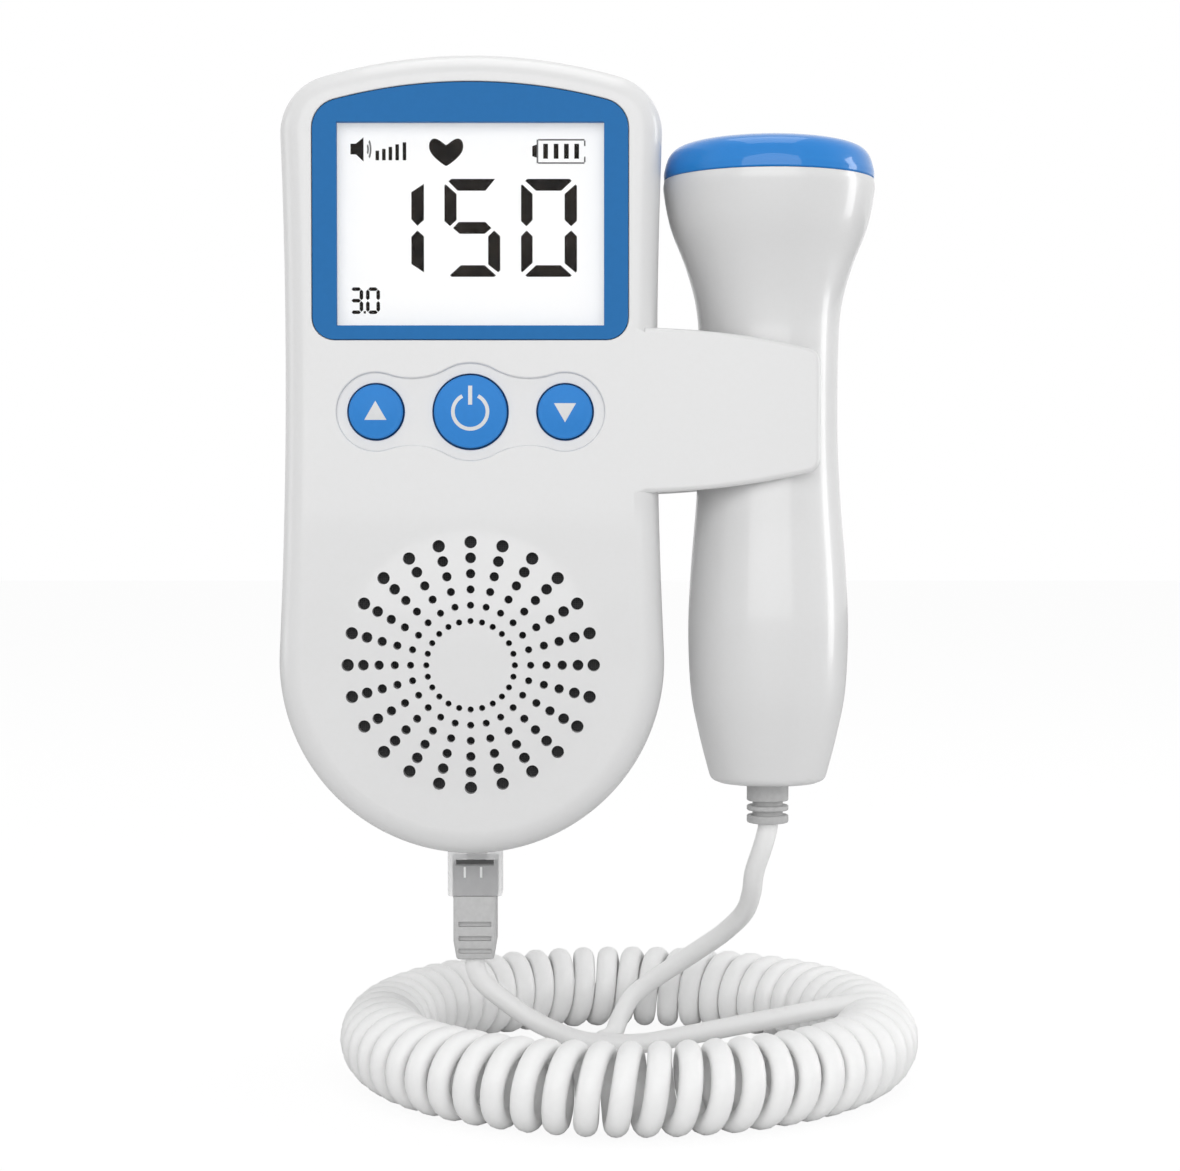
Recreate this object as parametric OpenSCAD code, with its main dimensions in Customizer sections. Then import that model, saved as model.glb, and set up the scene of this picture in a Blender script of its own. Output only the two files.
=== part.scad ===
// Fetal doppler monitor: a hand unit with a display, three keys and a speaker, a probe that is held at its
// side, and a curly cord from a modular plug to the probe.
// Millimetres. +Z is up, the front faces -Y, and the origin is on the flat back above the battery cover.

/* [Case] */
// Height of the case, from the round lower end to the top of the arch
case_h = 135.5; // [133:0.5:145]
// Thickness of the case, back to front
case_t = 34; // [33.5:0.5:38]
// Depth of the rear cover, from the back to the joint between the covers
split_d = 15; // [13:0.5:17]
// Wall of the covers
wall = 2.2; // [2:0.1:2.6]
// Rounding of the front and back edges
edge_r = 5; // [4:0.5:6]
// Radius of the round lower end
bottom_r = 32.8; // [32.4:0.2:36]
// Radius of the arched top
top_r = 90.8; // [80:0.4:110]
// Radius of the upper corners
corner_r = 10; // [8:0.5:12]
// Radius of the hollow sides
side_r = 1000; // [900:50:1400]
// Height of the narrowest place above the middle
waist_z = 15; // [10:1:20]
// Diameter of the case screws and board screws
screw_d = 1.9; // [1.6:0.1:2.2]

/* [Display] */
// Width of the liquid crystal panel
lcd_w = 48; // [45:0.5:48.5]
// Height of the liquid crystal panel
lcd_h = 37.6; // [35:0.4:38]
// Thickness of the liquid crystal panel
lcd_t = 1.5; // [1.2:0.1:1.8]
// Depth of the recess for the display frame
bezel_recess = 1.5; // [1.3:0.1:1.6]
// Margin of the case above the display frame
bezel_margin = 4.95; // [4.5:0.1:6]
// Radius of the frame's arched top
bezel_r = 90; // [80:1:110]

/* [Keys] */
// Distance between neighbouring keys
key_pitch = 15.94; // [15.5:0.1:17]
// Diameter of the up and down keys
key_d = 9.12; // [8.5:0.1:10]
// Diameter of the power key
power_d = 12.28; // [11.5:0.1:13]
// Depth of the recess round the keys
key_recess = 0.6; // [0.4:0.1:0.8]
// Height of a key's rim over the recess
key_rise = 0.9; // [0.7:0.1:1.4]
// Travel of a key
key_travel = 0.6; // [0.4:0.1:0.6]
// Gap round a key
key_gap = 0.28; // [0.2:0.02:0.4]

/* [Speaker] */
// Rings of holes in the grille
grille_rings = 6; // [4:1:6]
// Holes in each ring
grille_holes = 24; // [16:1:24]
// Radius of the innermost ring
grille_r = 7.47; // [6.6:0.1:8]
// Step from ring to ring
grille_step = 2.66; // [2.3:0.02:2.7]
// Diameter of the innermost holes
hole_small = 1.05; // [0.8:0.05:1.2]
// Diameter of the outermost holes
hole_big = 2.12; // [1.6:0.05:2.3]
// Radius of the raised disc that carries the grille
dome_r = 23; // [22.5:0.1:24]
// Rise of the disc at its middle
dome_rise = 0.7; // [0.3:0.1:1]
// Radius of the speaker
speaker_r = 22; // [20:0.25:22]

/* [Batteries] */
// Diameter of a cell
cell_d = 14.5; // [13.5:0.1:14.5]
// Length of a cell with its nub
cell_l = 50.5; // [44:0.5:50.5]
// Thickness of the battery cover
door_t = 1.8; // [1.4:0.1:2]
// Gap round the battery cover
door_gap = 0.3; // [0.2:0.05:0.4]

/* [Plug] */
// Width of the plug
plug_w = 9.5; // [9:0.1:9.8]
// Thickness of the plug
plug_t = 6.6; // [6.2:0.1:6.8]
// Length of the plug's housing
plug_l = 21.5; // [20:0.5:24]
// Clearance between the plug and its socket
plug_gap = 0.2; // [0.1:0.05:0.3]
// Contacts of the plug
contacts = 4; // [2:1:4]

/* [Probe] */
// Radius of the probe's head
head_r = 18.3; // [17.5:0.1:19]
// Radius of the probe's neck, where the strap holds it
neck_r = 12.05; // [11.5:0.05:12.2]
// Radius of the probe's thickest place under the strap
belly_r = 13.95; // [13:0.05:15]
// Wall of the probe's shells
probe_wall = 1.8; // [1.4:0.1:2.2]
// Gap between the case and the probe's head
head_gap = 1; // [0.6:0.1:3]
// Thickness of the strap and of the arm behind the probe
arm_t = 2.6; // [2.2:0.1:2.8]
// Height of the strap where it leaves the case
arm_h = 27.9; // [24:0.5:30]

/* [Cord] */
// Diameter of the cord
cord_d = 3.5; // [3:0.1:3.5]
// Radius of a curl, at the middle of the cord
curl_r = 5.85; // [5.4:0.05:5.9]
// Curls of the ring
curls = 56.528; // [50:0.5:56.5]

/* [Hidden] */
$fn = 64;
slack = 0.05;
seat = 0.1;
mid_fn = 48;
edge_steps = 6;

// The case's outline, about the middle of its height: one round lower end, two hollow sides, two corners
// and an arched top, each tangent to the next.
top_z = case_h / 2;
low_z = -case_h / 2;
mount_z = top_z - 29.75;
bottom_cz = low_z + bottom_r;
top_cz = top_z - top_r;
side_cx = sqrt(pow(side_r + bottom_r, 2) - pow(waist_z - bottom_cz, 2));
corner_c = cross_pt([0, top_cz], top_r - corner_r, [side_cx, waist_z], side_r + corner_r);
a_low = atan2(waist_z - bottom_cz, side_cx);
a_high = atan2(corner_c.y - waist_z, side_cx - corner_c.x);
a_top = atan2(corner_c.y - top_cz, corner_c.x);
wall_in = case_t - wall;

// Display stack, from the front inwards.
bezel_floor = case_t - bezel_recess;
bezel_top = top_z - bezel_margin;
lcd_z = bezel_top - lcd_h / 2 - 5.05;
bezel_half = lcd_w / 2 + 2.7;
bezel_low = lcd_z - lcd_h / 2 - 0.75;
window_w = lcd_w - 3;
window_h = lcd_h - 3.5;
lens_top = bezel_floor - slack;
lens_t = 1.25;
lcd_top = lens_top - lens_t - slack;
light_t = 3;
light_top = lcd_top - lcd_t - slack;
tray_floor = light_top - light_t - slack;
tray_t = 1.5;
board_t = 1.6;
board_top = tray_floor - tray_t - slack;
board_back = board_top - board_t;

// Keys, one above its plunger and its switch.
key_z = bezel_low - 12.03;
key_xs = [-key_pitch, 0, key_pitch];
lobe_margin = 1.78;
lobe_fillet = 12.1;
key_floor = case_t - key_recess;
flange_top = wall_in - 0.2;
flange_t = 1;
flange_w = 0.95;
stem_r = 1.6;
stem_low = flange_top - flange_t - 0.95;
plunger_r = 1.5;
plunger_low = board_top + 2.2;
switch_w = 6;
switch_top = plunger_low + 1.2;

// Speaker, centred in the round lower end.
speaker_z = bottom_cz - 0.4;
rib_in = speaker_r + 0.2;
rib_t = 1.2;
cloth_t = 0.3;
gasket_t = 0.8;
cloth_back = wall_in - slack - cloth_t;
gasket_back = cloth_back - slack - gasket_t;
frame_top = gasket_back - slack;
frame_low = frame_top - 6.5;
magnet_t = 4;
magnet_r = speaker_r / 2;

// Plug and socket, on one upright axis through the lower end.
plug_v = case_t / 2;
plug_top = low_z + 12.55;
plug_low = plug_top - plug_l;
latch_t = 0.9;
latch_half = 1.8;
latch_z = plug_top - 2.7;
latch_v = plug_v - plug_t / 2 - 0.65;
latch_l = 17.2;
latch_tilt = 5.9;
socket_wall = 1.5;
socket_low = low_z + 3.15;
socket_top = plug_top + 0.3 + socket_wall;
cavity_w = plug_w + 2 * plug_gap + 0.05;
cavity_t = plug_t + 2 * plug_gap + 0.1;
latch_back = 11.3 - 17 + plug_v;
boot_w = 7.6;
boot_t = 6.4;
boot_low = plug_low - 11.2;

// Battery bay, open to the back, with a cover that hooks in at its upper end.
bay_half = cell_d + 1.15;
bay_end = 2.9;
bay_over_socket = 9.5;
bay_long = cell_l + 5.1;
bay_low = socket_top + bay_over_socket + bay_end;
bay_mid = bay_low + bay_long / 2;
bay_high = bay_low + bay_long;
bay_wall = 1.4;
bay_floor = 2.65 + cell_d + 0.4;
cell_v = 2.65 + cell_d / 2;
cell_x = cell_d / 2 + 0.45;
plate_t = 0.4;
plate_gap = 0.1;
spring_l = 3.6;
door_seat = door_t + 0.1;
door_half = bay_half + 2.15;
door_low = bay_low - 2.2;
door_high = bay_high + 2.4;
tab_x = 9;
tab_w = 4;
tab_t = 0.9;
tab_l = 1.9;

// Screws: two at the top, two under the keys, two at the lower end.
screw_r = screw_d / 2;
boss_r = screw_r + 1.35;
head_d = screw_d + 2.1;
head_t = 1.6;
well_d = 6;
boss_top_z = top_cz + sqrt(pow(top_r - wall, 2) - 17 * 17) - boss_r;
low_boss = (bottom_r - 6.6) * sqrt(0.5);
case_screw_at = [[-17, boss_top_z], [17, boss_top_z], [-24, key_z - 5.87], [24, key_z - 5.87],
  [-low_boss, bottom_cz - low_boss], [low_boss, bottom_cz - low_boss]];
board_screw_at = [[0, top_z - 5.55], [-12, key_z - 11.37], [12, key_z - 11.37]];

// Probe, upright in front of the arm behind it and behind the strap.
head_side = side_half(46);
probe_x = head_side + head_gap + head_r;
probe_v = case_t / 2 + 1.5;
strap_in = case_t - arm_t;
rear_arm = probe_v - neck_r - 0.65;
arm_mid = mount_z - 30.35;
arm_r = 135;
arm_root = 27;
arm_tip = probe_x + 7.8;
probe_low = -56.7;
relief_r = 3.65;
relief_low = probe_low - 7.2;
cap_z = 48.2;
cap_under = cap_z + 4.8;
crystal_t = 2;
carrier_top = cap_under - seat - crystal_t - seat;
carrier_low = cap_z - 2.4;
skirt_r = head_r - probe_wall - 0.2;
skirt_t = 1.1;

// Cord. The ring of curls lies on a level at floor_z under the unit, its middle forward of the case's.
floor_z = -147;
ring_c = [27, -16.3];
ring_r = 43.2;
ring_a0 = -3;
ring_sweep = 353;
curl_a0 = 100;
curl_rings = 8;
curl_sides = 6;
ring_z = floor_z + 5.85 + 1.75;
lead_sides = 8;
lead_unit_route = [[0, -17, -125.9], [0, -17, -128], [1.5, -17, -130.6], [5.6, -17, -134],
  [9.6, -17, -136.8], [13.6, -17, -138.9], [17.7, -17, -140.5], [22.1, -17, -141.2], [29.3, -17, -141.2],
  [36.3, -17, -140], [45.3, -17, -138.2], [54.2, -17, -136.5], [60, -17.3, -135.3]];
lead_probe_route = [[61.5, -15, -145.25], [56, -17, -145.25], [50.5, -20, -145.25], [45, -23.5, -145.25],
  [39, -26, -145.25], [33, -26.5, -145.25], [27.8, -24, -145.25], [24.2, -19.5, -145.25],
  [22.3, -14, -145.25], [21.4, -8, -145.25], [21.4, -2, -145.25], [22.2, 4, -145.25], [24.4, 8, -144.9],
  [25.75, 10.5, -142.3], [27.8, 11.5, -138.9], [30.4, 11, -136.4], [33.5, 9, -133.8], [39.1, 4.5, -129.2],
  [44.3, -1.5, -124.4], [47.8, -7.5, -119.7], [48.9, -12, -115.5], [49.2, -15.5, -111.2],
  [50.5, -18, -106.3], [51.3, -18.5, -103.1], [51.3, -18.5, -101.9]];
curl_path = curl_route();

function arc(c, r, from, to, n, last = 0) =
  [for (i = [0 : n - 1 + last]) let (a = from + (to - from) * i / n) c + r * [cos(a), sin(a)]];

// The upper crossing of two circles, on the left of the line from the first centre to the second.
function cross_pt(a, ra, b, rb) =
  let (d = norm(b - a), u = (b - a) / d, t = (d * d + ra * ra - rb * rb) / (2 * d), h = sqrt(ra * ra - t * t))
  a + u * t + h * [-u.y, u.x];

function side_half(z) = side_cx - sqrt(side_r * side_r - pow(z - waist_z, 2));

function case_outline(inset) = concat(
  arc([0, bottom_cz], bottom_r - inset, 180 - a_low, 360 + a_low, 28),
  arc([side_cx, waist_z], side_r + inset, 180 + a_low, 180 - a_high, 4),
  arc(corner_c, corner_r - inset, -a_high, a_top, 7),
  arc([0, top_cz], top_r - inset, a_top, 180 - a_top, 10),
  arc([-corner_c.x, corner_c.y], corner_r - inset, 180 - a_top, 180 + a_high, 7),
  arc([-side_cx, waist_z], side_r + inset, a_high, -a_low, 4));

// The display frame's outline: straight sides and lower edge, an arched top, round corners.
function bezel_outline(inset) =
  let (rc = 5, rb = 3.8, cz = bezel_top - bezel_r, x = bezel_half - rc,
    z = cz + sqrt(pow(bezel_r - rc, 2) - x * x), a = atan2(z - cz, x), xb = bezel_half - rb)
  concat(
    arc([xb, bezel_low + rb], rb - inset, -90, 0, 6, 1),
    arc([x, z], rc - inset, 0, a, 6),
    arc([0, cz], bezel_r - inset, a, 180 - a, 16),
    arc([-x, z], rc - inset, 180 - a, 180, 6, 1),
    arc([-xb, bezel_low + rb], rb - inset, 180, 270, 6, 1));

// The strap's outline seen from the front: both edges curve towards the tip, whose corners are round.
function arm_outline(from) =
  let (zt = arm_mid + arm_h / 2, zb = arm_mid - arm_h / 2, rc = 2.4, x = arm_tip - rc,
    ct = [arm_root, zt - arm_r], cb = [arm_root, zb + arm_r], dx = x - arm_root,
    dz = sqrt(pow(arm_r - rc, 2) - dx * dx), a = atan2(dz, dx), a0 = acos((from - arm_root) / arm_r))
  concat(
    arc(cb, arm_r, -a0, -a, 6),
    arc([x, cb.y - dz], rc, -a, 0, 4, 1),
    arc([x, ct.y + dz], rc, 0, a, 4),
    arc(ct, arm_r, a, a0, 6, 1));

// A smooth curve through a list of points, n steps from each to the next.
function spline(p, n) = concat(
  [for (i = [0 : len(p) - 2], j = [0 : n - 1])
    let (t = j / n, b = p[i], c = p[i + 1], a = i > 0 ? p[i - 1] : 2 * b - c,
      d = i < len(p) - 2 ? p[i + 2] : 2 * c - b)
    0.5 * (2 * b + (c - a) * t + (2 * a - 5 * b + 4 * c - d) * t * t + (3 * b - a - 3 * c + d) * t * t * t)],
  [p[len(p) - 1]]);

function unit(v) = v / norm(v);

function middle(p) = [for (i = [0 : len(p[0]) - 1]) sum([for (q = p) q[i]]) / len(p)];

function sum(v, i = 0) = i < len(v) ? v[i] + sum(v, i + 1) : 0;

function tangents(p) =
  [for (i = [0 : len(p) - 1]) unit(p[min(i + 1, len(p) - 1)] - p[max(i - 1, 0)])];

// Each ring's first direction is the last ring's, turned only as far as the tube bends.
function ring_dirs(t) =
  let (first = abs(t[0].z) > 0.9 ? [1, 0, 0] : [0, 0, 1])
  [for (i = 0, u = unit(first - (first * t[0]) * t[0]); i < len(t);
    i = i + 1, u = i < len(t) ? unit(u - (u * t[i]) * t[i]) : u) u];

// A point on the curly ring, s curls from the end that comes from the plug.
function curl_pt(s) =
  let (f = curl_a0 - 360 * s, q = ring_a0 - ring_sweep * s / curls, rr = ring_r + curl_r * cos(f))
  [ring_c.x + rr * cos(q), ring_c.y + rr * sin(q), ring_z + curl_r * sin(f)];

function curl_route() =
  let (n = round(curls * curl_rings),
    p = [for (i = [0 : n]) curl_pt(i * curls / n)],
    ta = unit(curl_pt(0) - curl_pt(0.002)), tb = unit(curl_pt(curls) - curl_pt(curls - 0.002)))
  concat([p[0] + cord_d * ta], p, [p[n] + cord_d * tb]);

// The last two points of a lead that runs into the end of the ring, straight and square to it.
function curl_end(last, inner) =
  let (p = curl_path[last]) [p + cord_d * unit(p - curl_path[inner]), p];

function backwards(p) = [for (i = [len(p) - 1 : -1 : 0]) p[i]];

// The least gap from the ring of curls to itself: each ring of the tube against those one curl on, and
// the first curls against the last.
curl_gap = min(concat(
  [for (i = [0 : len(curl_path) - 14], j = [i + 5 : i + 12]) norm(curl_path[i] - curl_path[j])],
  [for (i = [0 : 24], j = [len(curl_path) - 25 : len(curl_path) - 1]) norm(curl_path[i] - curl_path[j])]
  )) - cord_d;
echo(least_gap_of_the_curls = curl_gap);

// Puts a shape that is drawn in the plane of the face, with its third axis running from the back plane to
// the front, into the part's frame.
module face() translate([0, 0, -mount_z]) rotate([90, 0, 0]) children();

module lay(v) face() translate([0, 0, v]) children();

module slab(w, h, t) translate([-w / 2, -h / 2, 0]) cube([w, h, t]);

// A solid through rings of as many points each, closed at both ends round a middle point.
module loft(rings) {
  n = len(rings[0]);
  m = len(rings);
  low = n * m;
  polyhedron(
    points = concat([for (g = rings) each g], [middle(rings[0]), middle(rings[m - 1])]),
    faces = concat(
      [for (i = [0 : m - 2], k = [0 : n - 1], h = [0, 1])
        let (q = (k + 1) % n, a = i * n, b = a + n)
        h == 0 ? [a + k, b + k, b + q] : [a + k, b + q, a + q]],
      [for (k = [0 : n - 1]) [low, k, (k + 1) % n]],
      [for (k = [0 : n - 1]) let (e = low - n) [low + 1, e + (k + 1) % n, e + k]]),
    convexity = 10);
}

module tube(path, r, sides) {
  t = tangents(path);
  u = ring_dirs(t);
  loft([for (i = [0 : len(path) - 1]) [for (k = [0 : sides - 1])
    let (a = 360 * k / sides) path[i] + r * (cos(a) * u[i] + sin(a) * cross(t[i], u[i]))]]);
}

// A half of the case as a solid, with its far edge rounded all round.
module pod(inset, tall, edge) loft(concat(
  [for (p = [case_outline(inset)]) [for (q = p) [q.x, q.y, 0]]],
  [for (k = [0 : edge_steps]) let (a = 90 * k / edge_steps, z = tall - edge + edge * sin(a))
    [for (q = case_outline(inset + edge * (1 - cos(a)))) [q.x, q.y, z]]]));

// The lobed field round the keys, with waists between the lobes.
module key_field() {
  ra = power_d / 2 + key_gap + lobe_margin;
  rb = key_d / 2 + key_gap + lobe_margin;
  a = ra + lobe_fillet;
  b = rb + lobe_fillet;
  x = (a * a - b * b + key_pitch * key_pitch) / (2 * key_pitch);
  z = sqrt(a * a - x * x);
  translate([0, key_z]) {
    circle(ra);
    for (s = [-1, 1]) {
      translate([s * key_pitch, 0]) circle(rb);
      difference() {
        polygon([[0, 0], [s * x, z], [s * key_pitch, 0], [s * x, -z]]);
        for (k = [-1, 1]) translate([s * x, k * z]) circle(lobe_fillet);
      }
    }
  }
}

module key_hole(x, d) translate([x, key_z, wall_in - 1]) cylinder(d = d + 2 * key_gap, h = wall + 2);

module grille() {
  for (i = [0 : grille_rings - 1], k = [0 : grille_holes - 1])
    let (f = grille_rings > 1 ? i / (grille_rings - 1) : 0, a = 360 * k / grille_holes)
    translate([0, speaker_z, wall_in - 1]) rotate([0, 0, a]) translate([grille_r + grille_step * i, 0, 0])
      cylinder(d = hole_small * pow(hole_big / hole_small, f), h = wall + dome_rise + 2, $fn = 24);
}

module dome() translate([0, speaker_z, case_t]) rotate_extrude($fn = 144) polygon(concat(
  [[0, -0.5], [dome_r, -0.5]], [for (i = [8 : -1 : 0]) let (s = i / 8) [dome_r * s, dome_rise * (1 - s * s)]]));

// The strap's side view from above: flat outside, falling back a little towards the tip.
module arm_prism(from) rotate([90, 0, 0]) translate([0, 0, -40]) linear_extrude(80) polygon(concat(
  [[from, strap_in], [arm_tip + 1, strap_in], [arm_tip + 1, case_t - 0.9], [arm_tip, case_t - 0.8]],
  [for (i = [7 : -1 : 0]) let (s = i / 8, x = 46 + (arm_tip - 46) * s) [x, case_t - 0.8 * s * s]],
  [[from, case_t]]));

module front_arm() intersection() {
  linear_extrude(case_t + 1) polygon(arm_outline(28.2));
  translate([0, arm_mid, 0]) arm_prism(28.2);
}

module boss(at, r, from, to) translate([at.x, at.y, from]) cylinder(r = r, h = to - from, $fn = mid_fn);

module plug_gate() translate([-plug_w / 2 - 0.4, low_z - 2.25, latch_back - 0.1])
  cube([plug_w + 0.8, 6, plug_v + plug_t / 2 + 0.5 - latch_back + 0.1]);

module front_cover() color("white") face() {
  difference() {
    union() {
      difference() {
        translate([0, 0, split_d]) pod(0, case_t - split_d, edge_r);
        translate([0, 0, split_d - 1]) pod(wall, case_t - split_d - wall + 1, edge_r - wall);
      }
      dome();
      front_arm();
      for (at = case_screw_at) boss(at, boss_r, split_d, wall_in + 0.5);
      for (at = board_screw_at) boss(at, screw_r + 1.35, board_top, wall_in + 0.5);
      translate([0, speaker_z, frame_top - 2.25]) difference() {
        cylinder(r = rib_in + rib_t, h = wall_in - frame_top + 2.4);
        translate([0, 0, -1]) cylinder(r = rib_in, h = wall_in - frame_top + 5);
      }
    }
    translate([0, 0, bezel_floor]) linear_extrude(bezel_recess + 2) polygon(bezel_outline(0));
    translate([0, lcd_z, wall_in - 2]) slab(lcd_w + 1, lcd_h + 0.4, wall + 3);
    translate([0, 0, key_floor]) linear_extrude(2) key_field();
    key_hole(-key_pitch, key_d);
    key_hole(0, power_d);
    key_hole(key_pitch, key_d);
    grille();
    for (at = case_screw_at) boss(at, screw_r + 0.05, split_d - 1, split_d + 8);
    for (at = board_screw_at) boss(at, screw_r + 0.05, board_top - 1, board_top + 4.5);
    plug_gate();
  }
}

module tub_box(half, low, high, from, to) translate([-half, low, from]) cube([2 * half, high - low, to - from]);

module rear_arm() translate([0, 0, rear_arm - arm_t]) linear_extrude(arm_t) polygon(arm_outline(30.5));

module rear_cover() color("white") face() {
  difference() {
    union() {
      difference() {
        translate([0, 0, split_d]) mirror([0, 0, 1]) pod(0, split_d, edge_r);
        translate([0, 0, split_d + 1]) mirror([0, 0, 1]) pod(wall, split_d - wall + 1, edge_r - wall);
      }
      rear_arm();
      tub_box(bay_half + 2.6, bay_low - bay_end, bay_high + 5.9, 0.5, bay_floor + bay_wall);
      for (at = case_screw_at) boss(at, boss_r + 1.1, wall - 0.3, split_d);
    }
    tub_box(bay_half, bay_low, bay_high, -1, bay_floor);
    tub_box(door_half + door_gap, door_low - door_gap, door_high + door_gap, -1, door_seat);
    for (s = [-1, 1]) translate([s * tab_x - tab_w / 2 - 0.3, bay_high - 0.1, door_seat])
      cube([tab_w + 0.6, 2.4 + door_gap + tab_l + 0.3, tab_t + 1.4]);
    for (at = case_screw_at) {
      boss(at, screw_r + 0.25, -1, split_d + 1);
      boss(at, head_d / 2 + 0.4, -1, well_d);
    }
    plug_gate();
  }
}

module battery_cover() color("white") face() {
  difference() {
    union() {
      tub_box(door_half, door_low, door_high, 0, door_t);
      for (s = [-1, 1]) translate([s * tab_x - tab_w / 2, 0, 0]) {
        translate([0, door_high - 2, door_t - 0.3]) cube([tab_w, 2, tab_t + 0.6]);
        translate([0, door_high - 0.5, door_seat + 0.2]) cube([tab_w, tab_l + 0.5, tab_t]);
      }
    }
    translate([0, door_low + 8, -1]) slab(14, 7, 1.6);
  }
  for (k = [-1 : 1]) translate([0, door_low + 8 + 2 * k, 0.1]) slab(14, 0.8, 0.7);
}

module display_bezel() color("royalblue") lay(bezel_floor) difference() {
  linear_extrude(bezel_recess - 0.15) polygon(bezel_outline(0.2));
  translate([0, lcd_z, -1]) slab(window_w, window_h, bezel_recess + 2);
}

module display_lens() color("lightcyan", 0.4) lay(lens_top - lens_t) translate([0, lcd_z, 0]) {
  slab(lcd_w + 0.2, lcd_h - 0.4, lens_t);
  slab(window_w - 0.3, window_h - 0.3, lens_t + 0.95);
}

module lcd_panel() color("white") lay(lcd_top - lcd_t) translate([0, lcd_z, 0]) slab(lcd_w, lcd_h, lcd_t);

module lcd_backlight() color("whitesmoke") lay(light_top - light_t) translate([0, lcd_z, 0])
  slab(lcd_w, lcd_h, light_t);

module lcd_holder() color("gainsboro") lay(tray_floor - tray_t) translate([0, lcd_z, 0]) difference() {
  slab(lcd_w + 2, lcd_h + 2, tray_t + lcd_top - tray_floor - slack);
  translate([0, 0, tray_t]) slab(lcd_w + 0.4, lcd_h + 0.4, 20);
}

// A key: a flange under the wall, a stem that reaches the plunger and a slightly domed cap with a round rim.
module key(x, d) color("dodgerblue") face() translate([x, key_z, 0]) {
  r = d / 2;
  rim = key_floor + key_rise;
  rotate_extrude() {
    translate([0, stem_low]) square([stem_r, 2]);
    translate([0, flange_top - flange_t]) square([r + flange_w, flange_t]);
    polygon(concat(
      [[0, flange_top - 0.2], [r, flange_top - 0.2]],
      arc([r - 0.5, rim - 0.5], 0.5, 0, 75, 4, 1),
      [for (i = [6 : -1 : 0]) let (s = i / 7) [(r - 0.4) * s, rim + 0.6 - 0.6 * s * s]]));
  }
}

module key_up() key(-key_pitch, key_d);

module key_power() key(0, power_d);

module key_down() key(key_pitch, key_d);

module plunger(x) color("dimgray") face() translate([x, key_z, plunger_low])
  cylinder(r = plunger_r, h = stem_low - slack - plunger_low, $fn = mid_fn);

module plunger_up() plunger(-key_pitch);

module plunger_power() plunger(0);

module plunger_down() plunger(key_pitch);

module key_switches() color("silver") face() for (x = key_xs) translate([x, key_z, board_top]) difference() {
  slab(switch_w, switch_w, switch_top - board_top);
  translate([0, 0, plunger_low - key_travel - 0.2 - board_top])
    cylinder(r = plunger_r + 0.2, h = 5, $fn = mid_fn);
}

module main_board() color("darkgreen") lay(board_back) difference() {
  linear_extrude(board_t) union() {
    translate([-24.6, key_z + 0.63]) square([49.2, lcd_z + lcd_h / 2 + 1.15 - key_z - 0.63]);
    translate([-21.2, key_z - 14.37]) square([42.4, 15.1]);
    translate([-5, lcd_z]) square([10, top_z - 3.25 - lcd_z]);
  }
  for (at = board_screw_at) boss(at, screw_r + 0.25, -1, board_t + 1);
}

// Chips, a quartz can and a connector on the back of the board, above and beside the battery bay.
module board_chips() color("dimgray") lay(board_back) mirror([0, 0, 1]) {
  translate([0, lcd_z + 4, 0]) slab(12, 12, 1.8);
  translate([-15, lcd_z - 2, 0]) slab(6, 9, 1.6);
  translate([15, lcd_z + 2, 0]) slab(7, 5, 1.5);
  translate([14, lcd_z - 8, 0]) cylinder(d = 5, h = 2, $fn = mid_fn);
  translate([-2, key_z - 9, 0]) slab(10, 4, 2.4);
}

// A pan-head screw whose head sits on v, with a cross recess, running forwards.
module screw(at, v, long) translate([at.x, at.y, v]) difference() {
  union() {
    translate([0, 0, -head_t]) cylinder(d = head_d, h = head_t, $fn = mid_fn);
    cylinder(r = screw_r, h = long, $fn = mid_fn);
  }
  for (a = [0, 90]) rotate([0, 0, a]) translate([0, 0, -head_t - 0.1]) slab(2.2, 0.5, 0.9);
}

module board_screws() color("silver") face() for (at = board_screw_at) screw(at, board_back, board_t + 4);

module case_screws() color("silver") face() for (at = case_screw_at) screw(at, well_d, split_d + 6 - well_d);

module disc(r_in, r_out, from, to, n = 64) translate([0, speaker_z, from]) difference() {
  cylinder(r = r_out, h = to - from, $fn = n);
  if (r_in > 0) translate([0, 0, -1]) cylinder(r = r_in, h = to - from + 2, $fn = n);
}

module speaker_cloth() color("black") face() disc(0, speaker_r - 0.1, cloth_back, cloth_back + cloth_t);

module speaker_gasket() color("dimgray") face() disc(speaker_r - 3, speaker_r, gasket_back, gasket_back + gasket_t);

// The basket: a rim, a cone of sheet and a flat floor with a hole for the coil.
module speaker_frame() color("darkgray") face() translate([0, speaker_z, 0]) rotate_extrude() polygon([
  [speaker_r - 3, frame_top], [speaker_r, frame_top], [speaker_r, frame_top - 1],
  [speaker_r - 2, frame_top - 1], [magnet_r + 1, frame_low + 0.55], [magnet_r + 1, frame_low],
  [5, frame_low], [5, frame_low + 0.85], [magnet_r, frame_low + 0.85], [speaker_r - 3, frame_top - 0.6]]);

module speaker_cone() color("black") face() translate([0, speaker_z, frame_top - 0.1]) rotate_extrude() polygon([
  [0, -1.85], [3, -2.25], [5.8, -3.45], [6.6, -3.55], [speaker_r - 5, -0.25], [speaker_r - 3.2, 0],
  [speaker_r - 3.2, -0.5], [speaker_r - 5, -0.75], [6.6, -4.05], [5.8, -3.95], [3, -2.75], [0, -2.35]]);

module speaker_magnet() color("silver") face() disc(0, magnet_r, frame_low - seat / 2 - magnet_t, frame_low - seat / 2);

module cell(x, flip) translate([x, bay_mid, cell_v]) rotate([flip ? 90 : -90, 0, 0])
  translate([0, 0, -bay_long / 2 + plate_gap + plate_t + 3.9]) {
    cylinder(d = cell_d, h = cell_l - 1);
    cylinder(r = 2.75, h = cell_l, $fn = mid_fn);
  }

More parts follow.
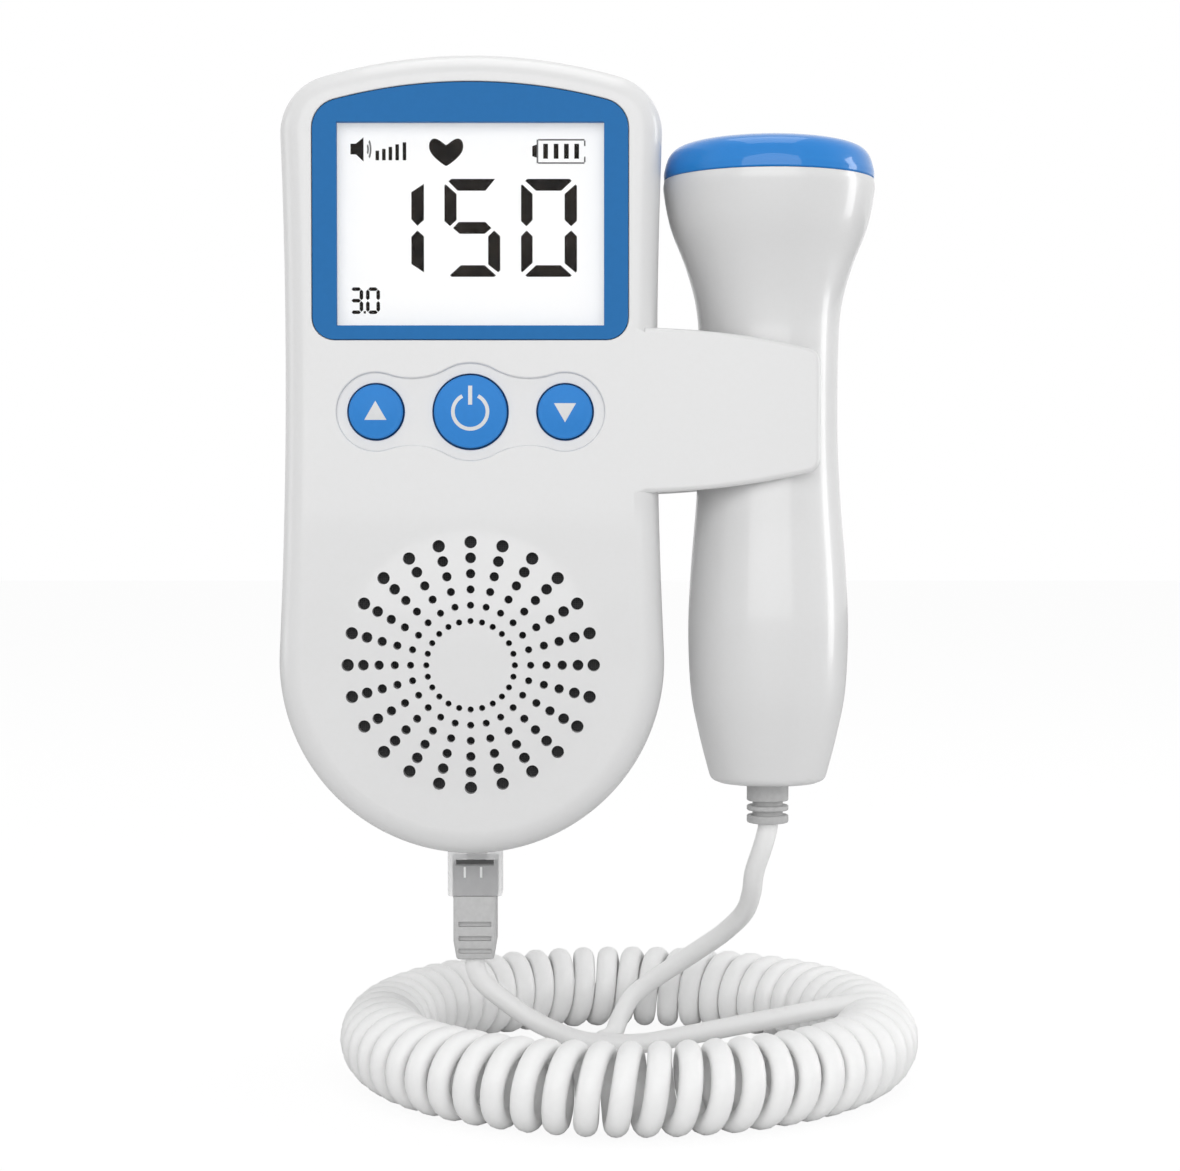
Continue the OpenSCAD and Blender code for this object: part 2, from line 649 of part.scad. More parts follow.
module battery_cells() color("darkorange") face() {
  cell(-cell_x, false);
  cell(cell_x, true);
}

function spring_route() = [for (i = [0 : 28]) let (s = i / 28, a = 360 * 3.5 * s, r = 3.6 - 1.2 * s)
  [r * cos(a), r * sin(a), 0.35 + (spring_l - 0.7) * s]];

module spring(x, flip) translate([x, bay_mid, cell_v]) rotate([flip ? 90 : -90, 0, 0])
  translate([0, 0, -bay_long / 2 + plate_gap + plate_t + 0.1]) tube(spring_route(), 0.35, 6);

module battery_springs() color("silver") face() {
  spring(-cell_x, false);
  spring(cell_x, true);
}

module battery_plates() color("silver") face() {
  for (z = [bay_low + plate_gap, bay_high - plate_gap - plate_t])
    tub_box(bay_half - 0.3, z, z + plate_t, 4, bay_floor - 0.2);
}

// The socket: a block round the plug's nose, open below, with a channel for the latch behind.
module plug_socket() color("dimgray") face() difference() {
  translate([-cavity_w / 2 - socket_wall, socket_low, latch_back - 1.3])
    cube([cavity_w + 2 * socket_wall, socket_top - socket_low, plug_v + cavity_t / 2 + 1.65 - latch_back + 1.3]);
  translate([-cavity_w / 2, socket_low - 1, plug_v - cavity_t / 2])
    cube([cavity_w, socket_top - socket_wall - socket_low + 1, cavity_t]);
  translate([-2.6, socket_low - 1, latch_back]) cube([5.2, socket_top - socket_wall - socket_low + 1, 4]);
  for (k = [0 : contacts - 1]) translate([contact_x(k) - 0.25, plug_top - 5.2, plug_v + cavity_t / 2 - 0.5])
    cube([0.5, 5.2, 1.5]);
}

function contact_x(k) = 1.27 * (k - (contacts - 1) / 2);

module socket_pins() color("gold") face() for (k = [0 : contacts - 1])
  translate([contact_x(k) - 0.2, plug_top - 5, plug_v + cavity_t / 2 - 0.05]) cube([0.4, 4.8, 1]);

// The plug's clear housing: a hollow block with slots for the contacts and a window on the front, and a
// lug on the back that carries the latch.
module plug_housing() color("lightgray") face() difference() {
  union() {
    translate([-plug_w / 2, plug_low, plug_v - plug_t / 2]) cube([plug_w, plug_l, plug_t]);
    for (s = [-1, 1]) translate([s * (latch_half + 0.4) - 0.3, latch_z - 0.7, latch_v - 0.55])
      cube([0.6, 1.6, 1.4]);
  }
  translate([-4, plug_low - 1, plug_v - 2.6]) cube([8, 7.7, 5.2]);
  translate([-3.3, plug_low + 5.4, plug_v]) cube([6.6, 1.2, 5]);
  for (k = [0 : contacts - 1]) translate([contact_x(k) - 0.25, plug_top - 4.6, plug_v + 1.1]) cube([0.5, 5, 5]);
}

module plug_contacts() color("gold") face() for (k = [0 : contacts - 1])
  translate([contact_x(k) - 0.2, plug_top - 4.5, plug_v + 1.2]) cube([0.4, 4.2, plug_t / 2 - 1.15]);

// The latch lever, which springs outwards from its root near the plug's nose.
module plug_latch() color("lightgray") face() translate([0, latch_z, latch_v]) rotate([latch_tilt, 0, 0]) {
  rotate([0, 90, 0]) translate([0, 0, -latch_half]) cylinder(d = latch_t, h = 2 * latch_half, $fn = 32);
  translate([-latch_half, -latch_l, -latch_t / 2]) cube([2 * latch_half, latch_l, latch_t]);
  translate([-latch_half - 0.5, -8, -latch_t / 2]) cube([2 * latch_half + 1, 1.6, latch_t]);
}

// The boot: a ribbed sleeve on the cord, with a tongue that goes up into the plug.
module cord_boot() color("darkgray") face() difference() {
  union() {
    translate([-boot_w / 2, boot_low, plug_v - boot_t / 2]) cube([boot_w, plug_low - boot_low, boot_t]);
    translate([-3.9, plug_low - 0.5, plug_v - 2.5]) cube([7.8, 6.2, 5]);
  }
  for (z = [4.9, 7.4, 9.65], s = [-1, 1]) translate([0, plug_low - z, plug_v + s * boot_t / 2])
    translate([-2.9, -0.45, -1]) cube([5.8, 0.9, 2]);
}

module cord_lead_unit() color("white")
  tube(concat(lead_unit_route, curl_end(0, 1)), cord_d / 2, lead_sides);

module cord_curls() color("white") tube(curl_path, cord_d / 2, curl_sides);

module cord_lead_probe() color("white")
  tube(concat(backwards(curl_end(len(curl_path) - 1, len(curl_path) - 2)), lead_probe_route),
    cord_d / 2, lead_sides);

// The probe's outer profile, from under the cap to the lower end: [radius, height].
probe_profile = spline([[head_r - 0.05, cap_z - 0.1], [head_r, 46],
  [neck_r + 0.81 * (head_r - neck_r), 40], [neck_r + 0.38 * (head_r - neck_r), 33],
  [neck_r + 0.09 * (head_r - neck_r), 26], [neck_r + 0.05, 18], [neck_r, 4],
  [neck_r + 0.29 * (belly_r - neck_r), -8], [neck_r + 0.76 * (belly_r - neck_r), -19], [belly_r, -30],
  [belly_r - 0.45, -40.5], [belly_r - 1.75, -47.6], [belly_r - 3.35, -54], [belly_r - 4.05, -56],
  [belly_r - 5.35, probe_low]], 3);

module probe() translate([probe_x, -probe_v, -mount_z]) children();

module probe_half(from) probe() rotate([0, 0, from]) rotate_extrude(angle = 180) {
  inner_low = probe_low + probe_wall;
  inside = [for (p = probe_profile) if (p.y > inner_low + 0.4) [p.x - probe_wall, p.y]];
  n = len(inside);
  polygon(concat(probe_profile, [[2.9, probe_low], [2.9, inner_low], [inside[n - 1].x - 0.4, inner_low]],
    [for (i = [n - 1 : -1 : 0]) inside[i]]));
}

module probe_front_shell() color("white") probe_half(180);

module probe_back_shell() color("white") probe_half(0);

module probe_head_cap() color("dodgerblue") probe() rotate_extrude() polygon(concat(
  [[skirt_r - skirt_t, cap_z - 2.7], [skirt_r, cap_z - 2.7], [skirt_r, cap_z]],
  spline([[head_r - 0.05, cap_z], [head_r - 0.1, cap_z + 1.6], [head_r - 1, cap_z + 4.2],
    [head_r - 3, cap_z + 5.7], [head_r - 7.3, cap_z + 6.55], [head_r - 13.3, cap_z + 6.85],
    [0, cap_z + 6.9]], 3),
  [[0, cap_under], [skirt_r - skirt_t - 2, cap_under], [skirt_r - skirt_t, cap_under - 1.8]]));

module probe_carrier() color("ivory") probe() translate([0, 0, carrier_low])
  cylinder(r = skirt_r - skirt_t - 0.2, h = carrier_top - carrier_low);

module probe_crystals() color("silver") probe() translate([0, 0, carrier_top + seat])
  for (a = [0, 180]) rotate([0, 0, a]) translate([0, 0.3, 0]) intersection() {
    cylinder(r = 11, h = crystal_t);
    translate([-12, 0, -1]) cube([24, 12, crystal_t + 2]);
  }

module probe_board() color("darkgreen") probe() {
  half = neck_r - probe_wall - 0.25;
  translate([-half, -0.8, -16]) cube([2 * half, 1.6, carrier_low - seat + 16]);
}

// The strain relief: a collar with two ring slots, a neck through the probe's end and a flange inside.
module probe_strain_relief() color("darkgray") probe() rotate_extrude() polygon([
  [0, relief_low], [relief_r - 0.3, relief_low], [relief_r, relief_low + 0.3],
  [relief_r, relief_low + 1.4], [relief_r - 1, relief_low + 1.4], [relief_r - 1, relief_low + 2.2],
  [relief_r, relief_low + 2.2], [relief_r, relief_low + 3.1], [relief_r - 1, relief_low + 3.1],
  [relief_r - 1, relief_low + 3.9], [relief_r, relief_low + 3.9], [relief_r, probe_low - slack],
  [2.7, probe_low - slack], [2.7, probe_low + probe_wall + slack], [4.6, probe_low + probe_wall + slack],
  [4.6, probe_low + probe_wall + 1.3], [0, probe_low + probe_wall + 1.3]]);

front_cover();
rear_cover();
battery_cover();
display_bezel();
display_lens();
lcd_panel();
lcd_backlight();
lcd_holder();
key_up();
key_power();
key_down();
plunger_up();
plunger_power();
plunger_down();
key_switches();
main_board();
board_chips();
board_screws();
case_screws();
speaker_cloth();
speaker_gasket();
speaker_frame();
speaker_cone();
speaker_magnet();
battery_cells();
battery_springs();
battery_plates();
plug_socket();
socket_pins();
plug_housing();
plug_contacts();
plug_latch();
cord_boot();
cord_lead_unit();
cord_curls();
cord_lead_probe();
probe_front_shell();
probe_back_shell();
probe_head_cap();
probe_carrier();
probe_crystals();
probe_board();
probe_strain_relief();
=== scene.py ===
from math import acos, atan2, cos, hypot, pi, radians, sin, sqrt

import bmesh
import bpy
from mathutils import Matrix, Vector, kdtree

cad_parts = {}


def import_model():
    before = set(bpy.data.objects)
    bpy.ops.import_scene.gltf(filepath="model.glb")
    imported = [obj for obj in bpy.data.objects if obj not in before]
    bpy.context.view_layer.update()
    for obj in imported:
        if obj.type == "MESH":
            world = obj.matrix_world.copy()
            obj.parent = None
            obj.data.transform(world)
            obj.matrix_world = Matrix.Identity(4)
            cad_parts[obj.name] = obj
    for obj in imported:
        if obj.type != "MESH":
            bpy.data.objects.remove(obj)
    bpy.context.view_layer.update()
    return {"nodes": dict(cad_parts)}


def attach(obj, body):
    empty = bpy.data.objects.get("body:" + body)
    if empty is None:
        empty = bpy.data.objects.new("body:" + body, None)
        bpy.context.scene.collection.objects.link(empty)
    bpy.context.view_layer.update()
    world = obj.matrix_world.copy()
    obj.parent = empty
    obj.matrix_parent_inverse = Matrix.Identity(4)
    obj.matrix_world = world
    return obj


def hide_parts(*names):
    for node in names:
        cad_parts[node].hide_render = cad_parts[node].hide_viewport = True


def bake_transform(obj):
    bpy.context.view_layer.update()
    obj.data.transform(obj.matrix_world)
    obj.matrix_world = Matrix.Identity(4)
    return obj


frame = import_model()

# --- Camera ------------------------------------------------------------------------------------------
# A long lens 445 mm in front of the case's back, a little below the middle of the case and tilted down
# by 1.5 degrees, so the case is seen nearly square on.
bpy.ops.object.camera_add(location=(0.02014, -0.4455, -0.04884), rotation=(radians(88.46), 0, 0))
camera = bpy.context.object
camera.name = "camera"
camera.data.sensor_width = 36
camera.data.lens = 74.44
camera.data.clip_start = 0.01
bpy.context.scene.camera = camera

# --- Curly cord --------------------------------------------------------------------------------------
# One soft white cord, 3.5 mm thick. It drops from the plug's boot into a ring of 86 mm, round which it
# winds in curls, then lies on the table inside the ring and climbs to the probe. The curls were set by
# winding the sheath on a rod. It's made in three lengths, which meet end to end in straight stretches.
mm = 0.001
cord_d = 3.5 * mm
table_z = -147 * mm
ring_x, ring_y, ring_r = 27 * mm, -16.3 * mm, 43.2 * mm
curl_r = 5.85 * mm
curls = 56.528
ring_start, ring_sweep, curl_start = -3, 353, 100
steps_per_curl = 24
flat_wide = 1.13


def curl_point(turn):
    """The middle of the cord after a number of curls, from the end that comes from the plug."""
    across = radians(curl_start - 360 * turn)
    round_ring = radians(ring_start - ring_sweep * turn / curls)
    reach = ring_r + curl_r * cos(across)
    return Vector((ring_x + reach * cos(round_ring), ring_y + reach * sin(round_ring),
                   table_z + curl_r + cord_d / 2 + curl_r * sin(across)))


def smooth_route(points, steps=8):
    """The points joined by a curve that passes through each of them, in steps of its own."""
    route = []
    for i in range(len(points) - 1):
        b, c = points[i], points[i + 1]
        a = points[i - 1] if i else 2 * b - c
        d = points[i + 2] if i + 2 < len(points) else 2 * c - b
        for k in range(steps):
            t = k / steps
            route.append(0.5 * (2 * b + (c - a) * t + (2 * a - 5 * b + 4 * c - d) * t ** 2
                                + (3 * b - a - 3 * c + d) * t ** 3))
    return route + [points[-1]]


def take(*pieces):
    """Selects only these pieces. The first one is the active one."""
    bpy.ops.object.select_all(action="DESELECT")
    for piece in pieces:
        piece.select_set(True)
    bpy.context.view_layer.objects.active = pieces[0]


def choose_all():
    """In edit mode, selects the whole mesh."""
    bpy.ops.mesh.select_all(action="SELECT")


def edit(piece):
    """Opens a piece in edit mode with all of it selected."""
    take(piece)
    bpy.ops.object.mode_set(mode="EDIT")
    bpy.ops.mesh.select_mode(type="VERT")
    choose_all()


def close_edit():
    """Leaves edit mode."""
    bpy.ops.object.mode_set(mode="OBJECT")


def weld(piece):
    """Joins vertices that lie in one place, such as those of a cord's end caps."""
    edit(piece)
    bpy.ops.mesh.remove_doubles(threshold=0.001 * mm)
    close_edit()


def lay_cord(name, points, radius=cord_d / 2):
    """A round tube along points, closed at both ends."""
    curve = bpy.data.curves.new(name, "CURVE")
    curve.dimensions = "3D"
    curve.bevel_depth = radius
    curve.bevel_resolution = 6
    curve.use_fill_caps = True
    spline = curve.splines.new("POLY")
    spline.points.add(len(points) - 1)
    for place, point in zip(spline.points, points):
        place.co = (*point, 1)
    laid = bpy.data.objects.new(name, curve)
    bpy.context.collection.objects.link(laid)
    take(laid)
    bpy.ops.object.convert(target="MESH")
    weld(laid)
    bpy.ops.object.shade_smooth_by_angle(angle=radians(50))
    laid.data.materials.clear()
    return laid


curl_count = round(curls * steps_per_curl)
curled = [curl_point(i * curls / curl_count) for i in range(curl_count + 1)]
# The cord runs straight for one diameter past each end of the curls, where the leads meet it.
a_moment = 0.002
end_a = curled[0] + (curl_point(0) - curl_point(a_moment)).normalized() * cord_d
end_b = curled[-1] + (curl_point(curls) - curl_point(curls - a_moment)).normalized() * cord_d
curled = [end_a, *curled, end_b]
from_boot = [Vector(p) * mm for p in (
    (0, -17, -125.9), (0, -17, -128), (1.5, -17, -130.6), (5.6, -17, -134), (9.6, -17, -136.8),
    (13.6, -17, -138.9), (17.7, -17, -140.5), (22.1, -17, -141.2), (29.3, -17, -141.2), (36.3, -17, -140),
    (45.3, -17, -138.2), (54.2, -17, -136.5), (60, -17.3, -135.3))]
from_boot += [end_a + (end_a - curled[1]), end_a]
to_probe = [Vector(p) * mm for p in (
    (61.5, -15, -145.25), (56, -17, -145.25), (50.5, -20, -145.25), (45, -23.5, -145.25),
    (39, -26, -145.25), (33, -26.5, -145.25), (27.8, -24, -145.25), (24.2, -19.5, -145.25),
    (22.3, -14, -145.25),
    (21.4, -8, -145.25), (21.4, -2, -145.25), (22.2, 4, -145.25), (24.4, 8, -144.9), (25.75, 10.5, -142.3),
    (27.8, 11.5, -138.9), (30.4, 11, -136.4), (33.5, 9, -133.8), (39.1, 4.5, -129.2), (44.3, -1.5, -124.4),
    (47.8, -7.5, -119.7), (48.9, -12, -115.5), (49.2, -15.5, -111.2), (50.5, -18, -106.3),
    (51.3, -18.5, -103.1), (51.3, -18.5, -101.9))]
to_probe = [end_b, end_b + (end_b - curled[-2])] + to_probe
unit_route, probe_route = smooth_route(from_boot), smooth_route(to_probe)

ring_of_curls = lay_cord("curly_cord", curled)
# Each vertex moves along the ring, away from the cord's middle, so the section grows wider than high. The
# first and last curl grow wide gradually.
centres = kdtree.KDTree(len(curled))
for i, point in enumerate(curled):
    centres.insert(point, i)
centres.balance()
for vertex in ring_of_curls.data.vertices:
    centre, i, _ = centres.find(vertex.co)
    flattened = min(1, min(i, len(curled) - 1 - i) / steps_per_curl)
    along = Vector((ring_y - centre.y, centre.x - ring_x, 0)).normalized()
    vertex.co += along * (vertex.co - centre).dot(along) * (flat_wide - 1) * flattened
unit_lead = lay_cord("lead_from_plug", unit_route)
probe_lead = lay_cord("lead_to_probe", probe_route)


def add_node(tree, kind, inputs, **settings):
    """A shader node. Each of its inputs takes a constant or another node's output."""
    made = tree.nodes.new("ShaderNode" + kind)
    for setting, value in settings.items():
        setattr(made, setting, value)
    for socket, value in inputs.items():
        if isinstance(value, bpy.types.NodeSocket):
            tree.links.new(value, made.inputs[socket])
        else:
            made.inputs[socket].default_value = value
    return made


def two_colours(tree, shader, share, low, high, between=(0, 1)):
    """Runs the shader's colour from low to high with another node's output."""
    ramp = add_node(tree, "ValToRGB", {"Fac": share})
    for end, place, colour in zip(ramp.color_ramp.elements, between, (low, high)):
        end.position, end.color = place, (*colour, 1)
    tree.links.new(ramp.outputs["Color"], shader.inputs["Base Color"])


def new_material(name, colour, roughness, **sockets):
    """A material with one Principled shader, its constants on the shader's own sockets."""
    made = bpy.data.materials.new(name)
    made.use_nodes = True
    shader = made.node_tree.nodes["Principled BSDF"]
    shader.inputs["Base Color"].default_value = (*colour, 1)
    shader.inputs["Roughness"].default_value = roughness
    for socket, value in sockets.items():
        shader.inputs[socket.replace("_", " ")].default_value = value
    return made, made.node_tree, shader


def vary(tree, shader, scale, colours=None, rough=None, bump=None, detail=3):
    """Noise on the piece's own coordinates that varies the colour, the roughness and the relief a little.
    scale is in grains per metre, and bump is (strength, depth in metres)."""
    place = add_node(tree, "TexCoord", {}).outputs["Object"]
    grain = add_node(tree, "TexNoise", {"Vector": place, "Scale": scale, "Detail": detail}).outputs["Fac"]
    if colours:
        two_colours(tree, shader, grain, *colours, (0.35, 0.65))
    if rough:
        spread = add_node(tree, "MapRange", {"Value": grain, "From Min": 0.3, "From Max": 0.7,
                                             "To Min": rough[0], "To Max": rough[1]})
        tree.links.new(spread.outputs["Result"], shader.inputs["Roughness"])
    if bump:
        relief = add_node(tree, "Bump", {"Height": grain, "Strength": bump[0], "Distance": bump[1]})
        tree.links.new(relief.outputs["Normal"], shader.inputs["Normal"])


def uneven(name, colours, rough, scale, bump=None, detail=3, **sockets):
    """A material whose colour and roughness each wander between two values."""
    middle = [(low + high) / 2 for low, high in zip(*colours)]
    made, tree, shader = new_material(name, middle, sum(rough) / 2, **sockets)
    vary(tree, shader, scale, colours, rough, bump, detail)
    return made


sheath = uneven("cord_sheath", ((0.932, 0.932, 0.929), (0.948, 0.948, 0.945)), (0.38, 0.46), 900,
                (0.1, 0.00003))
for laid in (ring_of_curls, unit_lead, probe_lead):
    laid.data.materials.append(sheath)
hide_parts("cord_curls")
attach(ring_of_curls, "main_unit")
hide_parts("cord_lead_unit")
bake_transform(unit_lead)
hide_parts("cord_lead_probe")
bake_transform(probe_lead)

# --- Front cover -------------------------------------------------------------------------------------
# The front half of the case: one ABS moulding with a satin skin, 2.2 mm thick. It has an arched top,
# slightly hollow sides and a round lower end, and the strap that holds the probe grows from its right
# side. The window, the lobed field round the keys, the 144 sound holes and the screw posts are moulded in.
case_depth, split_depth, wall = 34 * mm, 15 * mm, 2.2 * mm
low_r, side_r, corner_r, top_r = 32.8 * mm, 1000 * mm, 10 * mm, 90.8 * mm
low_z, waist_z, top_z = -72.95 * mm, -23 * mm, -61.05 * mm
side_x = sqrt((side_r + low_r) ** 2 - (waist_z - low_z) ** 2)


def crossing(a, ra, b, rb):
    """The upper crossing of two circles, on the left of the line from the first centre to the second."""
    run = b - a
    along = (run.length_squared + ra ** 2 - rb ** 2) / (2 * run.length)
    return a + run.normalized() * along + Vector((-run.y, run.x)).normalized() * sqrt(ra ** 2 - along ** 2)


corner_x, corner_z = crossing(Vector((0, top_z)), top_r - corner_r,
                              Vector((side_x, waist_z)), side_r + corner_r)
turn_low = atan2(waist_z - low_z, side_x)
turn_high = atan2(corner_z - waist_z, side_x - corner_x)
turn_top = atan2(corner_z - top_z, corner_x)


def choose(kind, rule):
    """In edit mode, selects only the vertices, edges or faces that a rule picks by their place."""
    bpy.ops.mesh.select_mode(type=kind)
    bpy.ops.mesh.select_all(action="DESELECT")
    shape = bmesh.from_edit_mesh(bpy.context.object.data)
    for part in {"VERT": shape.verts, "EDGE": shape.edges, "FACE": shape.faces}[kind]:
        if rule(part):
            part.select_set(True)
    shape.select_flush_mode()
    bmesh.update_edit_mesh(bpy.context.object.data)


def start_vertex(name, place):
    """A new piece with one vertex, open in edit mode."""
    bpy.ops.object.select_all(action="DESELECT")
    bpy.ops.mesh.primitive_plane_add(size=mm)
    drawn = bpy.context.object
    drawn.name = name
    edit(drawn)
    bpy.ops.mesh.merge(type="CENTER")
    bpy.ops.transform.translate(value=place)
    return drawn


def run_to(drawn, place):
    """Draws an edge from the selected vertex to a place."""
    last = next(v for v in bmesh.from_edit_mesh(drawn.data).verts if v.select)
    bpy.ops.mesh.extrude_region_move(TRANSFORM_OT_translate={"value": Vector(place) - last.co})


def trace(name, y, start, moves):
    """A flat face seen from the front. Its edge starts at (x, z) and follows straight runs to (x, z) and
    arcs (centre x, centre z, angle, steps). An arc with a positive angle turns against the clock."""
    drawn = start_vertex(name, (start[0], y, start[1]))
    for move in moves:
        if len(move) == 2:
            run_to(drawn, (move[0], y, move[1]))
        else:
            bpy.ops.mesh.spin(steps=move[3], angle=move[2], center=(move[0], y, move[1]), axis=(0, 1, 0))
    choose_all()
    bpy.ops.mesh.remove_doubles(threshold=0.002 * mm)
    bpy.ops.mesh.edge_face_add()
    close_edit()
    return drawn


def thicken(drawn, y):
    """Draws a traced face out by a distance along the case's depth, into a closed solid."""
    edit(drawn)
    bpy.ops.mesh.extrude_region_move(TRANSFORM_OT_translate={"value": (0, y, 0)})
    choose_all()
    bpy.ops.mesh.normals_make_consistent(inside=False)
    close_edit()
    return drawn


def level(y, near=0.01 * mm):
    """A rule for the edges or faces that lie at a depth of the case."""
    return lambda e: all(abs(v.co.y - y) < near for v in e.verts)


def before(y):
    """A rule for the edges in front of a depth of the case."""
    return lambda e: all(v.co.y < y for v in e.verts)


def soften(piece, size, steps, rule=lambda e: True):
    """Rounds the edges that a rule picks, or all of them."""
    edit(piece)
    choose("EDGE", rule)
    bpy.ops.mesh.bevel(offset=size, segments=steps, affect="EDGES", clamp_overlap=False)
    close_edit()
    return piece


def turned(name, centre, outline, axis="Z", steps=96, sweep=360):
    """A solid of revolution. Its outline is points of radius and height, from the centre up along Z, or
    forwards from the back where the axis is Y."""
    x, y, z = centre
    places = [(x + r, y, z + h) if axis == "Z" else (x + r, y - h, z) for r, h in outline]
    way = (0, 0, 1) if axis == "Z" else (0, 1, 0)
    drawn = start_vertex(name, places[0])
    for place in places[1:]:
        run_to(drawn, place)
    choose_all()
    bpy.ops.mesh.spin(steps=steps, angle=radians(sweep), center=centre, axis=way)
    choose_all()
    bpy.ops.mesh.remove_doubles(threshold=0.002 * mm)
    bpy.ops.mesh.delete_loose()
    choose_all()
    bpy.ops.mesh.normals_make_consistent(inside=False)
    close_edit()
    return drawn


def block(name, low, high):
    """A box between two corners, for cutting or for shaping further."""
    bpy.ops.object.select_all(action="DESELECT")
    bpy.ops.mesh.primitive_cube_add(size=1, location=(Vector(low) + Vector(high)) / 2)
    made = bpy.context.object
    made.name = name
    made.scale = Vector(high) - Vector(low)
    bpy.ops.object.transform_apply(location=True, rotation=True, scale=True)
    return made


def slab(name, half, depths, heights):
    """A box centred from left to right, given by half its width and two ranges, in millimetres."""
    low, high = [(side * half * mm, y * mm, z * mm) for side, y, z in zip((-1, 1), depths, heights)]
    return block(name, low, high)


def in_mm(points):
    """Points given in millimetres."""
    return [tuple(value * mm for value in point) for point in points]


def peg(name, x, z, radius, back, front, sides=48):
    """A round peg that runs from back to front."""
    return turned(name, (x, 0, z), [(0, back), (radius, back), (radius, front), (0, front)], "Y", sides)


def joined(pieces):
    """Several pieces as one mesh."""
    take(*pieces)
    bpy.ops.object.join()
    return pieces[0]


def apply_modifier(piece, kind, **settings):
    """Adds a modifier to a piece and applies it."""
    take(piece)
    added = piece.modifiers.new(kind.lower(), kind)
    for setting, value in settings.items():
        setattr(added, setting, value)
    bpy.ops.object.modifier_apply(modifier=added.name)


def merge_in(piece, other, how="UNION"):
    """Joins another solid to a piece, or cuts it out, and does away with the other."""
    apply_modifier(piece, "BOOLEAN", operation=how, object=other, solver="MANIFOLD")
    bpy.data.objects.remove(other)


def cut(piece, *cutters):
    """Cuts other solids out of a piece."""
    for cutter in cutters:
        merge_in(piece, cutter, "DIFFERENCE")


def smooth(piece, angle=32):
    """Smooth shading up to an angle, with the flat faces kept flat."""
    edit(piece)
    bpy.ops.mesh.remove_doubles(threshold=0.001 * mm)
    bpy.ops.mesh.dissolve_degenerate(threshold=0.0005 * mm)
    close_edit()
    bpy.ops.object.shade_smooth_by_angle(angle=radians(angle))
    apply_modifier(piece, "WEIGHTED_NORMAL", keep_sharp=True, mode="FACE_AREA_WITH_ANGLE")
    return piece


def case_face(name, y):
    """The outline of the case: a round lower end, hollow sides, round upper corners and an arched top."""
    return trace(name, y, (-low_r * cos(turn_low), low_z + low_r * sin(turn_low)), [
        (0, low_z, pi + 2 * turn_low, 88), (side_x, waist_z, -turn_low - turn_high, 12),
        (corner_x, corner_z, turn_high + turn_top, 22), (0, top_z, pi - 2 * turn_top, 36),
        (-corner_x, corner_z, turn_high + turn_top, 22), (-side_x, waist_z, -turn_low - turn_high, 12)])


def half_case(name, y_far, edge_round):
    """A half of the case as an open shell, from the joint between the covers to the front or the back."""
    shell = thicken(case_face(name, -split_depth), y_far + split_depth)
    soften(shell, edge_round, 8, level(y_far))
    edit(shell)
    choose("FACE", level(-split_depth))
    bpy.ops.mesh.delete(type="FACE")
    close_edit()
    apply_modifier(shell, "SOLIDIFY", thickness=wall, offset=-1, use_even_offset=True)

    def outer_joint(e):
        """The joint's outer edge, whose side face looks away from the middle of the case."""
        v = e.verts[0]
        return level(-split_depth)(e) and any(
            abs(f.normal.y) < 0.5 and f.normal.dot(Vector((v.co.x, 0, v.co.z - waist_z))) > 0
            for f in e.link_faces)

    return soften(shell, 0.22 * mm, 2, outer_joint)


bezel_half, bezel_low, bezel_top, bezel_r = 26.7 * mm, -18.6 * mm, 24.8 * mm, 90 * mm
recess_floor = 32.5 * mm


def bezel_face(name, y, inset=0):
    """The outline of the display's frame: straight sides and foot, an arched top and round corners."""
    high, low = 5 * mm, 3.8 * mm
    x, xl, arch = bezel_half - high, bezel_half - low, bezel_top - bezel_r
    z = arch + sqrt((bezel_r - high) ** 2 - x ** 2)
    part = atan2(z - arch, x)
    return trace(name, y, (xl, bezel_low + inset), [
        (xl, bezel_low + low, pi / 2, 8), (bezel_half - inset, z), (x, z, part, 8),
        (0, arch, pi - 2 * part, 32), (-x, z, part, 8), (inset - bezel_half, bezel_low + low),
        (-xl, bezel_low + low, pi / 2, 8), (xl, bezel_low + inset)])


lcd_z = 0.95 * mm


def lcd_block(name, half_x, half_z, back, face):
    """A box round the display's middle, between two depths of the case."""
    return block(name, (-half_x, -face, lcd_z - half_z), (half_x, -back, lcd_z + half_z))


key_z, key_pitch, key_r, power_r, key_gap = -30.63 * mm, 15.94 * mm, 4.56 * mm, 6.14 * mm, 0.28 * mm
keys = ((-key_pitch, key_r), (0, power_r), (key_pitch, key_r))
fillet_r, lobe_margin, key_floor = 12.1 * mm, 1.78 * mm, 33.4 * mm


def field_face(name, y):
    """The outline of the keys' field: a lobe round each key, with waists between the lobes."""
    big, small = power_r + key_gap + lobe_margin, key_r + key_gap + lobe_margin
    a, b = big + fillet_r, small + fillet_r
    x = (a * a - b * b + key_pitch ** 2) / (2 * key_pitch)
    z = sqrt(a * a - x * x)
    near, far = atan2(z, x), atan2(z, x - key_pitch)
    return trace(name, y, (key_pitch + small * cos(far), key_z - small * sin(far)), [
        (key_pitch, key_z, 2 * far, 48), (x, key_z + z, near - far, 14), (0, key_z, pi - 2 * near, 14),
        (-x, key_z + z, near - far, 14), (-key_pitch, key_z, 2 * far, 48), (-x, key_z - z, near - far, 14),
        (0, key_z, pi - 2 * near, 14), (x, key_z - z, near - far, 14)])


arm_mid, arm_tall, arm_r, arm_root, arm_tip = -30.35 * mm, 27.9 * mm, 135 * mm, 27 * mm, 59.1 * mm
arm_thick, strap_back, strap_start = 2.6 * mm, 31.4 * mm, 27.6 * mm
bend_x, bend_back = 46 * mm, 0.8 * mm


